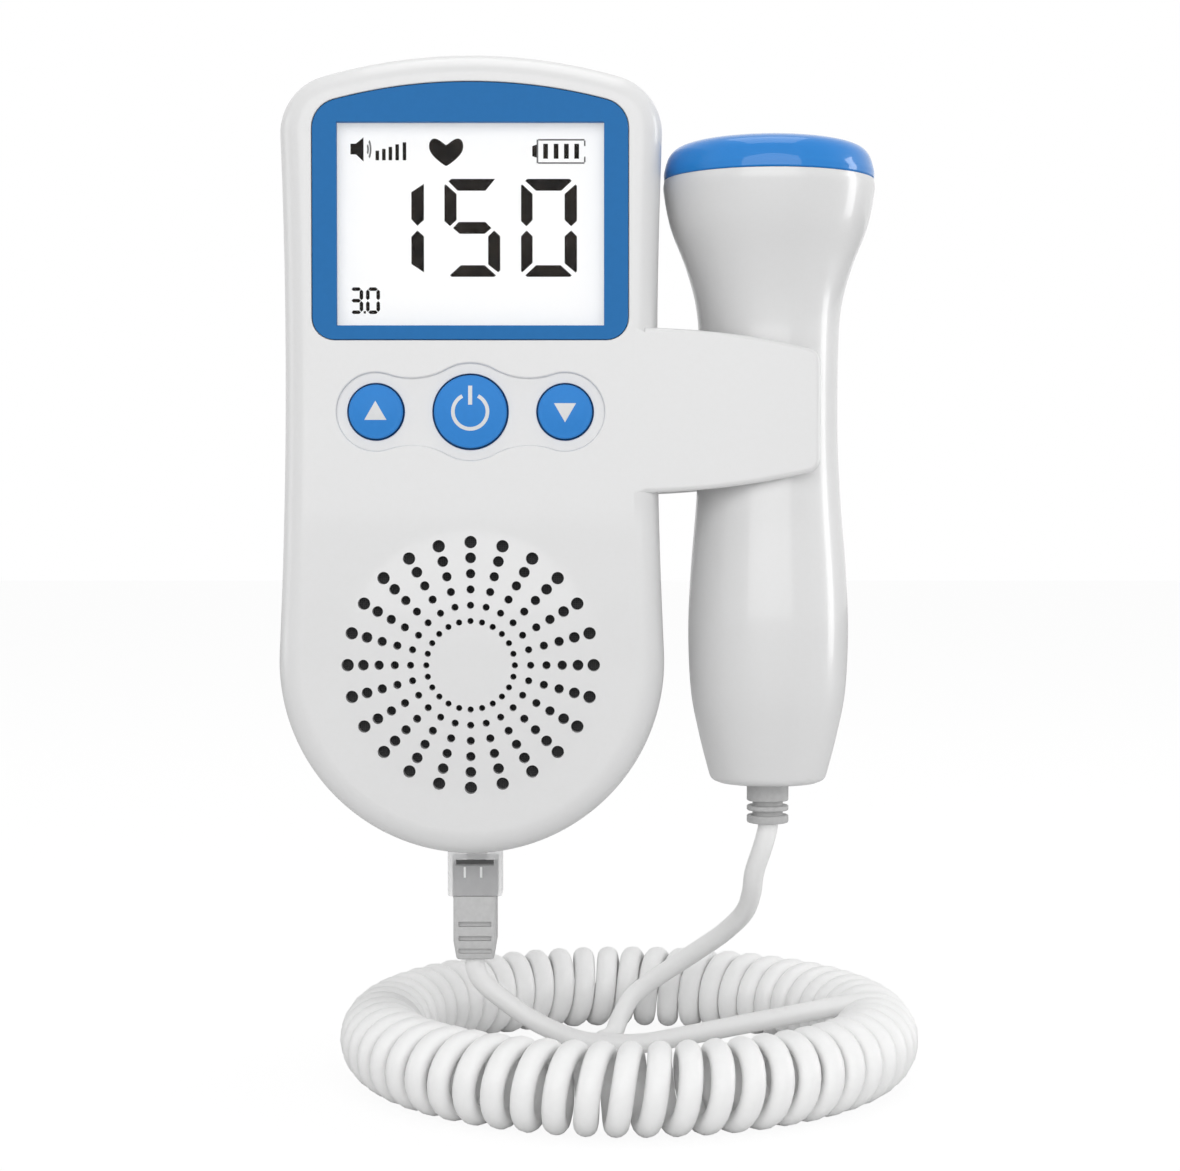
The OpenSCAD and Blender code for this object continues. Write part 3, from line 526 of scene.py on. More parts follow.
def arm_face(name, y, start):
    """The strap's outline: both long edges curve towards the tip, whose corners are round."""
    tip_r = 2.4 * mm
    x = arm_tip - tip_r
    low, high = arm_mid - arm_tall / 2 + arm_r, arm_mid + arm_tall / 2 - arm_r
    rise = sqrt((arm_r - tip_r) ** 2 - (x - arm_root) ** 2)
    a, a0 = atan2(rise, x - arm_root), acos((start - arm_root) / arm_r)
    return trace(name, y, (start, low - arm_r * sin(a0)), [
        (arm_root, low, a0 - a, 16), (x, low - rise, a, 8), (arm_tip, high + rise), (x, high + rise, a, 8),
        (arm_root, high, a0 - a, 16), (start, low - arm_r * sin(a0))])


dome_z, dome_r, dome_rise = -73.35 * mm, 23 * mm, 0.7 * mm
screw_places = [(side * x * mm, z * mm) for x, z in ((17, 23.604), (24, -36.5), (18.526, -91.476))
                for side in (-1, 1)]
board_screw_places = [(0, 24.2 * mm), (-12 * mm, -42 * mm), (12 * mm, -42 * mm)]
post_r, post_top = 2.3 * mm, 32.3 * mm
# In millimetres: the speaker rib's section, and the opening for the plug as slab takes it.
speaker_rib = [(22.2, 28.3), (23.4, 28.3), (23.4, 32), (22.2, 32), (22.2, 28.3)]
gate = (5.15, (-20.8, -11.2), (-108, -102))

front = half_case("front_cover_shell", -case_depth, 4.3 * mm)
dome_steps = 12
dome_base = case_depth - 0.5 * mm
merge_in(front, turned("dome", (0, 0, dome_z), [(0, dome_base), (dome_r, dome_base)] + [
    (dome_r * s, case_depth + dome_rise * (1 - s ** 2))
    for s in (i / dome_steps for i in range(dome_steps, -1, -1))], "Y", 120))

# The strap is flat to bend_x and then falls back in a curve towards its tip.
strap = thicken(arm_face("strap", -strap_back, strap_start), -arm_thick)
edit(strap)
for i in range(6):
    choose_all()
    bpy.ops.mesh.bisect(plane_co=(bend_x + 2.2 * mm * i, 0, 0), plane_no=(1, 0, 0))
for vertex in bmesh.from_edit_mesh(strap.data).verts:
    if vertex.co.y < -33.9 * mm and vertex.co.x > bend_x:
        vertex.co.y += bend_back * ((vertex.co.x - bend_x) / (arm_tip - bend_x)) ** 2
close_edit()


def strap_rim(e):
    """The strap's outer or inner edge, away from its root."""
    sides = [f for f in e.link_faces if abs(f.normal.y) < 0.5]
    return len(sides) == 1 and all(v.co.x > strap_start + 0.1 * mm for v in e.verts)


soften(strap, 0.85 * mm, 5, lambda e: strap_rim(e) and before(-32.5 * mm)(e))
soften(strap, 0.5 * mm, 3, lambda e: strap_rim(e) and level(-strap_back, 0.02 * mm)(e))
merge_in(front, strap)

merge_in(front, joined([peg("post", x, z, post_r, 15 * mm, post_top) for x, z in screw_places]
                       + [peg("post", x, z, post_r, 25 * mm, post_top) for x, z in board_screw_places]
                       + [turned("speaker_rib", (0, 0, dome_z), in_mm(speaker_rib), "Y")]))
cut(front, thicken(bezel_face("bezel_recess", -recess_floor), -4 * mm),
    lcd_block("window", 24.5 * mm, 19 * mm, 29 * mm, 36 * mm),
    thicken(field_face("key_field", -key_floor), -3 * mm),
    joined([peg("key_hole", x, key_z, r + key_gap, 30.8 * mm, 36 * mm, 80) for x, r in keys]),
    joined([peg("pilot", x, z, 1 * mm, 14 * mm, 23 * mm, 24) for x, z in screw_places]
           + [peg("pilot", x, z, 1 * mm, 24 * mm, 29.5 * mm, 24) for x, z in board_screw_places]),
    slab("plug_gate", *gate))

# The sound holes grow from ring to ring. One hole of each ring is turned round the grille's middle.
rings, ring_holes = 6, 24
first_ring, ring_gap = 7.47 * mm, 2.66 * mm
least_hole, most_hole = 1.05 * mm, 2.12 * mm
holes = []
for ring in range(rings):
    hole_r = least_hole / 2 * (most_hole / least_hole) ** (ring / (rings - 1))
    hole = peg("sound_hole", first_ring + ring_gap * ring, dome_z, hole_r, 30.8 * mm, 36 * mm, 20)
    edit(hole)
    bpy.ops.mesh.spin(steps=ring_holes - 1, dupli=True, angle=2 * pi * (ring_holes - 1) / ring_holes,
                      center=(0, 0, dome_z), axis=(0, 1, 0))
    close_edit()
    holes.append(hole)
cut(front, joined(holes))


def sharp(e):
    """Whether two faces meet at an edge at more than about 57 degrees."""
    return len(e.link_faces) == 2 and e.calc_face_angle(0) > 1


def front_rim(e, depth, half, low, high):
    """A sharp edge at a depth of the case, inside a box seen from the front."""
    return sharp(e) and level(-depth, 0.02 * mm)(e) and all(
        abs(v.co.x) < half and low < v.co.z < high for v in e.verts)


def key_hole_rim(e):
    """The edge of a key's hole in the floor of the field, whose side face looks at the key."""
    v = e.verts[0]
    from_key = Vector((v.co.x - round(v.co.x / key_pitch) * key_pitch, 0, v.co.z - key_z))
    return front_rim(e, key_floor, 22 * mm, -40 * mm, -22 * mm) and any(
        abs(f.normal.y) < 0.3 and f.normal.dot(from_key) < 0 for f in e.link_faces)


soften(front, 0.2 * mm, 3, lambda e: front_rim(e, case_depth, 27 * mm, -19 * mm, 25.2 * mm))
soften(front, 0.28 * mm, 3, lambda e: front_rim(e, case_depth, 23 * mm, -40 * mm, -22 * mm))
soften(front, 0.15 * mm, 2, key_hole_rim)
smooth(front)


def moulded_white(name, shade, roughness):
    """White moulded plastic with a thin clear gloss on a fine, slightly uneven skin."""
    return uneven(name, ((shade * 0.996,) * 3, (shade * 1.004, shade * 1.004, shade * 1.007)),
                  (roughness - 0.02, roughness + 0.02), 1400, (0.04, 0.00002), detail=4, Coat_Weight=0.35,
                  Coat_Roughness=0.05)


def dress(piece, material, slot, *nodes, body="main_unit"):
    """Gives a finished piece its material and its body, and hides the CAD nodes that it stands for."""
    piece.data.materials.clear()
    piece.data.materials.append(material)
    if nodes:
        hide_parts(*nodes)
    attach(piece, body)


case_white = moulded_white("case_white", 0.775, 0.36)
dress(front, case_white, "case_white", "front_cover")

# --- Rear cover --------------------------------------------------------------------------------------
# The back half of the case, from the same ABS. It carries the arm behind the probe, the battery bay with
# its recess for the door, two slots for the door's tabs and six wells for the case screws.
tab_x, tab_half, tab_gap = 9 * mm, 2 * mm, 0.3 * mm
rear = half_case("rear_cover_shell", 0, 3.8 * mm)
rear_arm = thicken(arm_face("rear_arm", -3.2 * mm, 30.5 * mm), -arm_thick)
soften(rear_arm, 0.7 * mm, 4, lambda e: all(v.co.x > 30.6 * mm for v in e.verts) and len(
    [f for f in e.link_faces if abs(f.normal.y) < 0.5]) == 1)
merge_in(rear, rear_arm)
merge_in(rear, joined([peg("screw_post", x, z, 3.4 * mm, 1.9 * mm, 15 * mm) for x, z in screw_places]))
merge_in(rear, slab("battery_tub", 18.25, (-18.95, -0.5), (-81.9, -17.5)))
cut(rear,
    slab("bay", 15.65, (-17.55, 1), (-79, -23.4)),
    slab("door_recess", 18.1, (-1.9, 1), (-81.5, -20.7)),
    joined([block("tab_slot", (x - tab_half - tab_gap, -4.2 * mm, -23.5 * mm),
                  (x + tab_half + tab_gap, -1.8 * mm, -18.6 * mm)) for x in (-tab_x, tab_x)]),
    joined([peg("well", x, z, 2.4 * mm, -1 * mm, 6 * mm, 40) for x, z in screw_places]),
    joined([peg("screw_way", x, z, 1.2 * mm, 5 * mm, 16 * mm, 24) for x, z in screw_places]),
    slab("plug_gate", *gate))
soften(rear, 0.3 * mm, 2, lambda e: sharp(e) and level(0, 0.02 * mm)(e))
dress(smooth(rear), case_white, "case_white", "rear_cover")

# --- Battery door ------------------------------------------------------------------------------------
# A flat ABS lid flush with the back. Two tabs hook under the recess's upper edge, and a thumb presses the
# ribbed pocket at its lower end.
door = soften(slab("battery_lid", 17.8, (-1.8, 0), (-81.2, -21)), 0.45 * mm, 3, level(0))
for x in (-tab_x, tab_x):
    left, right = x - tab_half, x + tab_half
    merge_in(door, block("tab_root", (left, -3 * mm, -23 * mm), (right, -1.5 * mm, -21 * mm)))
    merge_in(door, soften(block("tab", (left, -3 * mm, -21.5 * mm), (right, -2.1 * mm, -19.1 * mm)),
                          0.25 * mm, 2, lambda e: all(v.co.z > -19.2 * mm for v in e.verts)))
cut(door, soften(slab("thumb_pocket", 7, (-0.6, 1), (-76.7, -69.7)), 0.3 * mm, 3, before(-0.5 * mm)))
for z in (-75.6, -73.6, -71.6):
    merge_in(door, soften(slab("thumb_rib", 7, (-0.8, -0.1), (z, z + 0.8)), 0.3 * mm, 3, level(-0.1 * mm)))
dress(smooth(door), case_white, "case_white", "battery_cover", body="battery_door")

# --- Display frame and window ------------------------------------------------------------------------
# A blue plate with an arched top, set in the recess with an even gap round it, and a clear acrylic window
# whose raised middle fills the frame's opening. The plate has a satin face.
frame_face = 33.92 * mm
frame_plate = thicken(bezel_face("display_frame", -recess_floor, 0.12 * mm), -1.42 * mm)
soften(frame_plate, 0.15 * mm, 3, level(-frame_face))
cut(frame_plate, lcd_block("opening", 22.5 * mm, 17.05 * mm, 31 * mm, 36 * mm))
soften(frame_plate, 0.1 * mm, 2, lambda e: front_rim(e, frame_face, 23 * mm, -18 * mm, 19 * mm))
frame_blue = uneven("frame_blue", ((0.021, 0.165, 0.441), (0.023, 0.171, 0.455)), (0.46, 0.54), 700,
                    (0.04, 0.00002), Specular_IOR_Level=0.12)
dress(smooth(frame_plate), frame_blue, "blue_frame", "display_bezel")

window = lcd_block("display_window", 24.1 * mm, 18.6 * mm, 31.2 * mm, 32.45 * mm)
merge_in(window, soften(lcd_block("raised", 22.35 * mm, 16.9 * mm, 32 * mm, 33.4 * mm), 0.15 * mm, 2,
                        before(-33.3 * mm)))
clear, tree, shader = new_material("window_clear", (0.1, 0.1, 0.105), 0.05, Alpha=0.04, IOR=1.49)
vary(tree, shader, 500, rough=(0.03, 0.07))
dress(smooth(window), clear, "clear_lens", "display_lens")

# --- Display panel -----------------------------------------------------------------------------------
# A white glass panel with its light behind it. The dark signs are thin films on the glass: three large
# digits in slanted strokes, a loudspeaker with five bars, a heart, a battery and a small frequency number.
panel = soften(lcd_block("display_panel", 24 * mm, 18.8 * mm, 29.65 * mm, 31.15 * mm), 0.1 * mm, 2)
# The panel's emission is partly the backlight's glow and partly painted light that lifts the shade of the
# recess round it.
panel_white = uneven("panel_white", ((0.675, 0.675, 0.67), (0.685, 0.685, 0.68)), (0.3, 0.4), 300,
                     Emission_Color=(1, 1, 1, 1), Emission_Strength=0.45)
dress(smooth(panel), panel_white, "lcd_white", "lcd_panel")


def film(name, points, rounded=True):
    """A thin sign on the panel, its outline in millimetres from the panel's middle."""
    made = thicken(trace(name, -31.14 * mm, (points[-1][0] * mm, points[-1][1] * mm + lcd_z),
                         [(x * mm, z * mm + lcd_z) for x, z in points]), -0.05 * mm)
    if rounded:
        soften(made, 0.03 * mm, 2, before(-31.18 * mm))
    return made


def show(name, ink, outlines, rounded=True):
    """Puts a sign of one or more outlines on the panel, as one piece."""
    dress(smooth(joined([film(name, points, rounded) for points in outlines])), ink, "lcd_white")


strokes = {
    "one": [[(-7.96, 7.01), (-10.09, 5.61), (-10.09, 1.07), (-9.07, -0.04), (-7.96, 0.94)],
            [(-9.07, -0.84), (-10.09, -1.9), (-10.09, -6.49), (-7.96, -7.89), (-7.96, -1.82)]],
    "five": [[(-3.29, 7.86), (-3.8, 7.44), (-2.23, 5.87), (2.44, 5.87), (4.09, 7.86)],
             [(-4.27, 6.93), (-4.48, 6.76), (-4.48, 0.73), (-3.55, -0.08), (-2.44, 0.94), (-2.44, 5.31)],
             [(-2.06, 0.6), (-3.04, -0.42), (-1.93, -1.39), (2.31, -1.39), (3.46, -0.42), (2.44, 0.6)],
             [(3.92, -0.84), (2.9, -1.82), (2.9, -6.57), (4.6, -7.89), (4.94, -7.55), (4.94, -1.82)],
             [(-3.55, -8.36), (-3.29, -8.65), (3.92, -8.65), (4.22, -8.4), (2.31, -6.7), (-1.72, -6.7)]],
    "nought": [[(9.53, 7.86), (9.19, 7.52), (11.01, 5.87), (15.26, 5.87), (17.04, 7.52), (16.74, 7.86)],
               [(8.68, 6.93), (8.47, 6.76), (8.47, 0.73), (9.4, -0.12), (10.42, 0.94), (10.42, 5.31)],
               [(17.68, 6.93), (15.85, 5.31), (15.85, 0.94), (16.96, -0.12), (17.93, 0.81), (17.93, 6.67)],
               [(9.4, -0.84), (8.47, -1.82), (8.47, -7.68), (8.68, -7.89), (10.42, -6.28), (10.42, -1.82)],
               [(16.96, -0.84), (15.85, -1.82), (15.85, -6.36), (17.68, -7.93), (17.93, -7.68),
                (17.93, -1.82)],
               [(11.01, -6.7), (9.19, -8.4), (9.53, -8.65), (16.74, -8.65), (17.04, -8.4), (15.17, -6.7)]]}
film_dark = uneven("film_dark", ((0.004, 0.003, 0.002), (0.02, 0.015, 0.011)), (0.45, 0.55), 260,
                   Specular_IOR_Level=0.03)
for digit, outlines in strokes.items():
    show("digit_" + digit, film_dark, outlines)


def bar(x, low, high, wide):
    """An upright bar's outline round its middle line."""
    return [(x - wide / 2, low), (x + wide / 2, low), (x + wide / 2, high), (x - wide / 2, high)]


def greys(dark, pale):
    """Two neutral colours for uneven."""
    return (dark,) * 3, (pale,) * 3


loudspeaker = [film("loudspeaker", [(-20.36, 13.8), (-20.36, 11.98), (-19.43, 11.98), (-18.15, 10.79),
                                    (-18.15, 14.86), (-19.43, 13.8)])]
loudspeaker += [film("bar", bar(x, 11, top, 0.6), False) for x, top in (
    (-15.82, 12.61), (-14.71, 12.91), (-13.61, 13.25), (-12.46, 13.68), (-11.23, 14.02))]
dress(smooth(joined(loudspeaker)), film_dark, "lcd_white")

waves = []
for reach, half in ((0.62, 0.62), (1.05, 0.72)):
    far, near = [[(-18 + r * cos(half * t / 5), 12.85 + 2 * r * sin(half * t / 5)) for t in range(-5, 6)]
                 for r in (reach + 0.14, reach - 0.14)]
    waves.append(far + near[::-1])
film_grey, tree, shader = new_material("film_grey", (0.2, 0.2, 0.2), 0.5, Specular_IOR_Level=0.05)
vary(tree, shader, 400, colours=greys(0.18, 0.22))
show("sound_waves", film_grey, waves, False)

heart = []
for t in (2 * pi * i / 48 for i in range(48)):
    height = 13 * cos(t) - 5 * cos(2 * t) - 2 * cos(3 * t) - cos(4 * t)
    heart.append((-4.18 + 2.9 * sin(t) * abs(sin(t)) ** 0.6, 12.75 + height * 0.16))
show("heart", film_dark, [heart])

show("battery_bars", film_dark, [bar(x, 11.26, 13.76, 0.8) for x in (12.63, 14.41, 16.15, 17.89)]
     + [[(10.38, 13.38), (10.38, 11.68), (11.14, 11.43), (11.14, 13.63)]], False)
show("battery_outline", film_grey, [
    bar(11.25, 10.5, 14.47, 0.28), [(11.39, 10.4), (19.2, 10.4), (19.2, 10.66), (11.39, 10.66)],
    [(11.39, 14.31), (19.2, 14.31), (19.2, 14.57), (11.39, 14.57)], bar(19.25, 10.66, 11.6, 0.26),
    bar(19.25, 13.4, 14.31, 0.26)], False)


def small_stroke(x, z, level_one, long):
    """A thin stroke with pointed ends, level or upright."""
    half, tip = long / 2, 0.3
    shape = [(-half, 0), (tip - half, -tip), (half - tip, -tip), (half, 0), (half - tip, tip),
             (tip - half, tip)]
    return [(x + a, z + b) if level_one else (x - b, z + a) for a, b in shape]


# The small number is a three, whose upright strokes are on the right only, a point and a nought.
number, number_z = [], -12.68
for x, heights, sides in ((-19.45, (1, 0, -1), ((1, 1), (1, -1))),
                          (-16.6, (1, -1), ((1, 1), (1, -1), (-1, 1), (-1, -1)))):
    number += [small_stroke(x, number_z + 1.95 * height, True, 1.6) for height in heights]
    number += [small_stroke(x + 0.88 * side, number_z + 0.98 * height, False, 1.8)
               for side, height in sides]
number.append(bar(-18.0, -14.85, -14.45, 0.4))
show("small_number", film_dark, number, False)

# --- Inside the display ------------------------------------------------------------------------------
# Under the panel are its acrylic light guide and a moulded holder, then the green circuit board with its
# black packages, the three metal-capped switches and the zinc plated screws.


def inner(nodes, colours, roughness, scale, **sockets):
    """Finishes CAD pieces that stay as they are with a slightly uneven surface."""
    for node in nodes.split():
        finish = uneven(node + "_finish", colours, (roughness - 0.06, roughness + 0.06), scale,
                        (0.15, 0.00003), **sockets)
        for name in frame["nodes"]:
            if name.startswith(node):
                frame["nodes"][name].data.materials.clear()
                frame["nodes"][name].data.materials.append(finish)


board_green = ((0.012, 0.13, 0.05), (0.03, 0.2, 0.09))
inner("lcd_backlight", ((0.84, 0.84, 0.82), (0.9, 0.9, 0.88)), 0.25, 300)
inner("lcd_holder", ((0.66, 0.66, 0.65), (0.74, 0.74, 0.73)), 0.55, 700)
inner("main_board", board_green, 0.35, 260, Coat_Weight=0.4)
inner("board_chips", ((0.022, 0.022, 0.025), (0.045, 0.045, 0.05)), 0.6, 1500)
inner("key_switches", greys(0.58, 0.72), 0.34, 900, Metallic=1.0)
inner("board_screws case_screws", ((0.55, 0.55, 0.54), (0.68, 0.68, 0.66)), 0.32, 1200, Metallic=1.0)

# --- Keys --------------------------------------------------------------------------------------------
# Three round blue caps in their holes, up, power and down, each with a flange that keeps it in and a stem
# that presses its plunger on the switch. The signs are white and lie in the slightly domed tops.
key_blue = uneven("key_blue", ((0.035, 0.24, 0.664), (0.037, 0.248, 0.68)), (0.42, 0.5), 1100,
                  (0.05, 0.00002), Specular_IOR_Level=0.15)
sign_white = uneven("sign_white", ((0.73, 0.74, 0.75), (0.75, 0.76, 0.77)), (0.45, 0.55), 900)
cap_edge, stem_r, stem_back = 0.55 * mm, 1.6 * mm, 29.65 * mm
flange_wide, flange_back, flange_face = 0.95 * mm, 30.6 * mm, 31.6 * mm
rim_r, rim_depth = 0.35 * mm, 33.95 * mm
sign_depth = 35 * mm


def dome_depth(s):
    """The depth of a key's domed top at a share of its radius."""
    return 34.3 * mm + 0.6 * mm * (1 - s * s)


def key_cap(name, x, r):
    """A cap with a rounded rim, a narrow flat ring just inside it and a domed top."""
    rim = [(r - rim_r + rim_r * sin(a), rim_depth + rim_r * cos(a))
           for a in (pi / 2 - i * pi / 12 for i in range(7))]
    top = [((r - cap_edge) * s, dome_depth(s)) for s in (i / 10 for i in range(10, -1, -1))]
    return turned(name, (x, 0, key_z), [
        (0, stem_back), (stem_r, stem_back), (stem_r, flange_back), (r + flange_wide, flange_back),
        (r + flange_wide, flange_face), (r, flange_face)] + rim + top, "Y", 80)


def on_key(name, x, r, drawn):
    """Presses a flat sign on to a key's domed top, from 0.06 mm inside it to 0.04 mm outside it."""
    edit(drawn)
    for i in range(-10, 11):
        for normal in ((1, 0, 0), (0, 0, 1)):
            choose_all()
            bpy.ops.mesh.bisect(plane_co=(x + i * 0.42 * mm, 0, key_z + i * 0.42 * mm), plane_no=normal)
    for vertex in bmesh.from_edit_mesh(drawn.data).verts:
        share = hypot(vertex.co.x - x, vertex.co.z - key_z) / (r - cap_edge)
        back = vertex.co.y > -sign_depth - 0.5 * mm
        vertex.co.y = -(dome_depth(share) + (-0.06 if back else 0.04) * mm)
    close_edit()
    drawn.name = name
    return drawn


def flat_sign(x, points):
    """A sign in front of a key, its corners in millimetres from the key's middle."""
    corners = [(x + u * mm, key_z + w * mm) for u, w in points]
    return thicken(trace("sign", -sign_depth, corners[-1], corners), -1 * mm)


def power_sign():
    """A ring that is open at the top, and a bar in the gap."""
    gap, inner_r, outer_r = radians(27), 2.6 * mm, 3.22 * mm
    start = (outer_r * sin(-gap), key_z + outer_r * cos(gap))
    ring = thicken(trace("sign", -sign_depth, start, [
        (0, key_z, 2 * pi - 2 * gap, 60), (inner_r * sin(gap), key_z + inner_r * cos(gap)),
        (0, key_z, 2 * gap - 2 * pi, 60), start]), -1 * mm)
    return joined([ring, flat_sign(0, [(-0.34, 1.15), (0.34, 1.15), (0.34, 4.35), (-0.34, 4.35)])])


for place, (x, r), triangle in zip(("up", "power", "down"), keys, (
        [(0, 1.8), (-1.86, -1.4), (1.86, -1.4)], None, [(0, -1.8), (1.86, 1.4), (-1.86, 1.4)])):
    body = place + "_key"
    dress(smooth(key_cap("cap_" + place, x, r), 28), key_blue, "blue_key", "key_" + place, body=body)
    sign = flat_sign(x, triangle) if triangle else power_sign()
    dress(smooth(on_key("sign_" + place, x, r, sign)), sign_white, "blue_key", body=body)
inner("plunger", ((0.05, 0.05, 0.055), (0.09, 0.09, 0.1)), 0.5, 800)

# --- Speaker -----------------------------------------------------------------------------------------
# Behind the sound holes is a black dust cloth, then a foam ring, the pressed steel basket with its coated
# paper cone, and the nickel plated magnet.
cloth = turned("dust_cloth", (0, 0, dome_z), in_mm(
    [(0, 31.45), (21.8, 31.45), (21.9, 31.6), (21.8, 31.75), (0, 31.75)]), "Y", 96)
weave, tree, shader = new_material("dust_weave", (0.03, 0.03, 0.032), 0.85, Sheen_Weight=0.2)
place = add_node(tree, "TexCoord", {}).outputs["Object"]
warp, weft = [add_node(tree, "TexWave", {"Vector": place, "Scale": 900, "Distortion": 0.6},
                       bands_direction=way).outputs["Fac"] for way in ("X", "Z")]
cross = add_node(tree, "Math", {0: warp, 1: weft}, operation="MAXIMUM").outputs["Value"]
relief = add_node(tree, "Bump", {"Height": cross, "Strength": 0.6, "Distance": 0.00008})
tree.links.new(relief.outputs["Normal"], shader.inputs["Normal"])
two_colours(tree, shader, cross, (0.012, 0.012, 0.013), (0.05, 0.05, 0.052))
dress(smooth(cloth), weave, "cloth_black", "speaker_cloth")
foam = turned("foam_ring", (0, 0, dome_z), in_mm(
    [(19.1, 30.6), (21.9, 30.6), (22, 30.75), (22, 31.25), (21.9, 31.4), (19.1, 31.4), (19, 31.25),
     (19, 30.75), (19.1, 30.6)]), "Y")
cells_black, tree, shader = new_material("foam_cells", (0.04, 0.04, 0.04), 0.9)
vary(tree, shader, 2600, colours=greys(0.02, 0.06), bump=(0.8, 0.0001), detail=2)
dress(smooth(foam), cells_black, "foam_black", "speaker_gasket")
inner("speaker_frame", ((0.34, 0.35, 0.37), (0.44, 0.45, 0.47)), 0.38, 500, Metallic=1.0)
inner("speaker_cone", greys(0.02, 0.05), 0.8, 1800)
inner("speaker_magnet", greys(0.6, 0.7), 0.2, 300, Metallic=1.0)

# --- Batteries ---------------------------------------------------------------------------------------
# Two AA cells lie side by side, one each way up. Each has a printed sleeve with a darker band at its
# positive end, a rounded steel can and a nub. Coil springs and two plated strips join them.
cell_x, cell_y, cells_z = 7.7 * mm, 9.9 * mm, -51.2 * mm
# In millimetres: half the bay's length, and how far from its end a cell and its spring start.
bay_reach, cell_start, spring_start = 27.8, 4.4, 0.6
can_outline = (
    (0, 0.25), (4.6, 0.25), (4.8, 0), (6.6, 0), (7.1, 0.25), (7.25, 0.7), (7.25, 37), (7.25, 48.6),
    (7.1, 49.2), (6.7, 49.5), (5.9, 49.45), (5.7, 49.3), (3.0, 49.3), (2.75, 49.5), (2.75, 50.2),
    (2.5, 50.5), (0, 50.5))
can_edge, band_start = 6.4 * mm, 37 * mm
spring_turns, spring_steps = 3.5, 84
sleeve = uneven("cell_sleeve", ((0.61, 0.295, 0.068), (0.63, 0.305, 0.072)), (0.28, 0.32), 120,
                Coat_Weight=0.4, Metallic=0.35)
band = uneven("cell_band", ((0.04, 0.04, 0.045), (0.07, 0.07, 0.075)), (0.3, 0.4), 500, Coat_Weight=0.4)
steel = uneven("cell_steel", greys(0.68, 0.76), (0.2, 0.32), 900, Metallic=1.0)
for x, way, name in ((-cell_x, 1, "cell_left"), (cell_x, -1, "cell_right")):
    base = cells_z + way * (cell_start - bay_reach) * mm
    can = turned(name, (x, -cell_y, base), in_mm((r, way * h) for r, h in can_outline), "Z", 64)
    dress(smooth(can), sleeve, "cell_wrap", "battery_cells")
    can.data.materials.append(band)
    can.data.materials.append(steel)
    for face in can.data.polygons:
        along = way * (face.center.z - base)
        reach = hypot(face.center.x - x, face.center.y + cell_y)
        face.material_index = 2 if reach < can_edge or along < 0.2 * mm else int(along > band_start)

# Each spring narrows from the bay's end to its cell's flat end.
wire_steel = uneven("spring_wire", greys(0.62, 0.76), (0.16, 0.3), 900, Metallic=1.0)
springs = []
for x, way in ((-cell_x, 1), (cell_x, -1)):
    start = cells_z + way * (spring_start - bay_reach) * mm
    turns = []
    for s in (i / spring_steps for i in range(spring_steps + 1)):
        reach, angle = (3.6 - 1.2 * s) * mm, 2 * pi * spring_turns * s
        turns.append(Vector((x + way * reach * cos(angle), -cell_y - reach * sin(angle),
                             start + way * (0.35 + 2.9 * s) * mm)))
    springs.append(lay_cord("coil_spring", turns, 0.35 * mm))
dress(joined(springs), wire_steel, "contact_steel", "battery_springs")
inner("battery_plates", greys(0.6, 0.74), 0.24, 600, Metallic=1.0)

# --- Plug and its socket -----------------------------------------------------------------------------
# A modular plug hangs from the lower end. Its clear polycarbonate housing shows the grey moulding inside,
# it has four gold contacts, a springy latch at the back, and a grey slotted boot on the cord under it.
# The nylon socket with its gold pins sits inside the case.
housing = soften(slab("plug_body", 4.75, (-20.3, -13.7), (-114.7, -93.2)), 0.3 * mm, 2)
merge_in(housing, joined([block("latch_lug", *in_mm([(x - 0.3, -13.9, -96.6), (x + 0.3, -12.5, -95)]))
                          for x in (-2.2, 2.2)]))
cut(housing, slab("hollow", 4, (-19.6, -14.4), (-116, -108)),
    slab("front_slot", 3.3, (-21, -17), (-109.3, -108.1)),
    joined([block("contact_slot", *in_mm([(1.27 * k - 0.25, -21, -97.8), (1.27 * k + 0.25, -18.1, -93)]))
            for k in (-1.5, -0.5, 0.5, 1.5)]))
for x in (-1.75, 1.1):
    rib = block("rib", *in_mm([(x - 0.2, -20.38, -111.4), (x + 0.2, -20, -109.5)]))
    merge_in(housing, soften(rib, 0.08 * mm, 2, before(-20.3 * mm)))
plug_clear = uneven("plug_clear", ((0.78, 0.78, 0.79), (0.82, 0.82, 0.83)), (0.12, 0.22), 700,
                    (0.15, 0.00003), Alpha=0.36, IOR=1.58)
dress(smooth(housing), plug_clear, "plug_clear", "plug_housing", body="plug")
# The ribs' front faces are opaque near white: a painted highlight on clear ribs.
rib_painted_highlight = uneven("rib_painted_highlight", greys(0.92, 0.94), (0.16, 0.24), 700)
housing.data.materials.append(rib_painted_highlight)
for face in housing.data.polygons:
    face.material_index = int(face.center.y < -20.31 * mm)

lever = soften(slab("latch_lever", 1.8, (-0.45, 0.45), (-17.2, 0.45)), 0.2 * mm, 3)
merge_in(lever, slab("latch_shoulder", 2.3, (-0.45, 0.45), (-8, -6.4)))
edit(lever)
bpy.ops.transform.rotate(value=-radians(5.9), orient_axis="X", center_override=(0, 0, 0))
bpy.ops.transform.translate(value=(0, -13.05 * mm, -95.9 * mm))
close_edit()
dress(smooth(lever), plug_clear, "plug_clear", "plug_latch", body="latch")

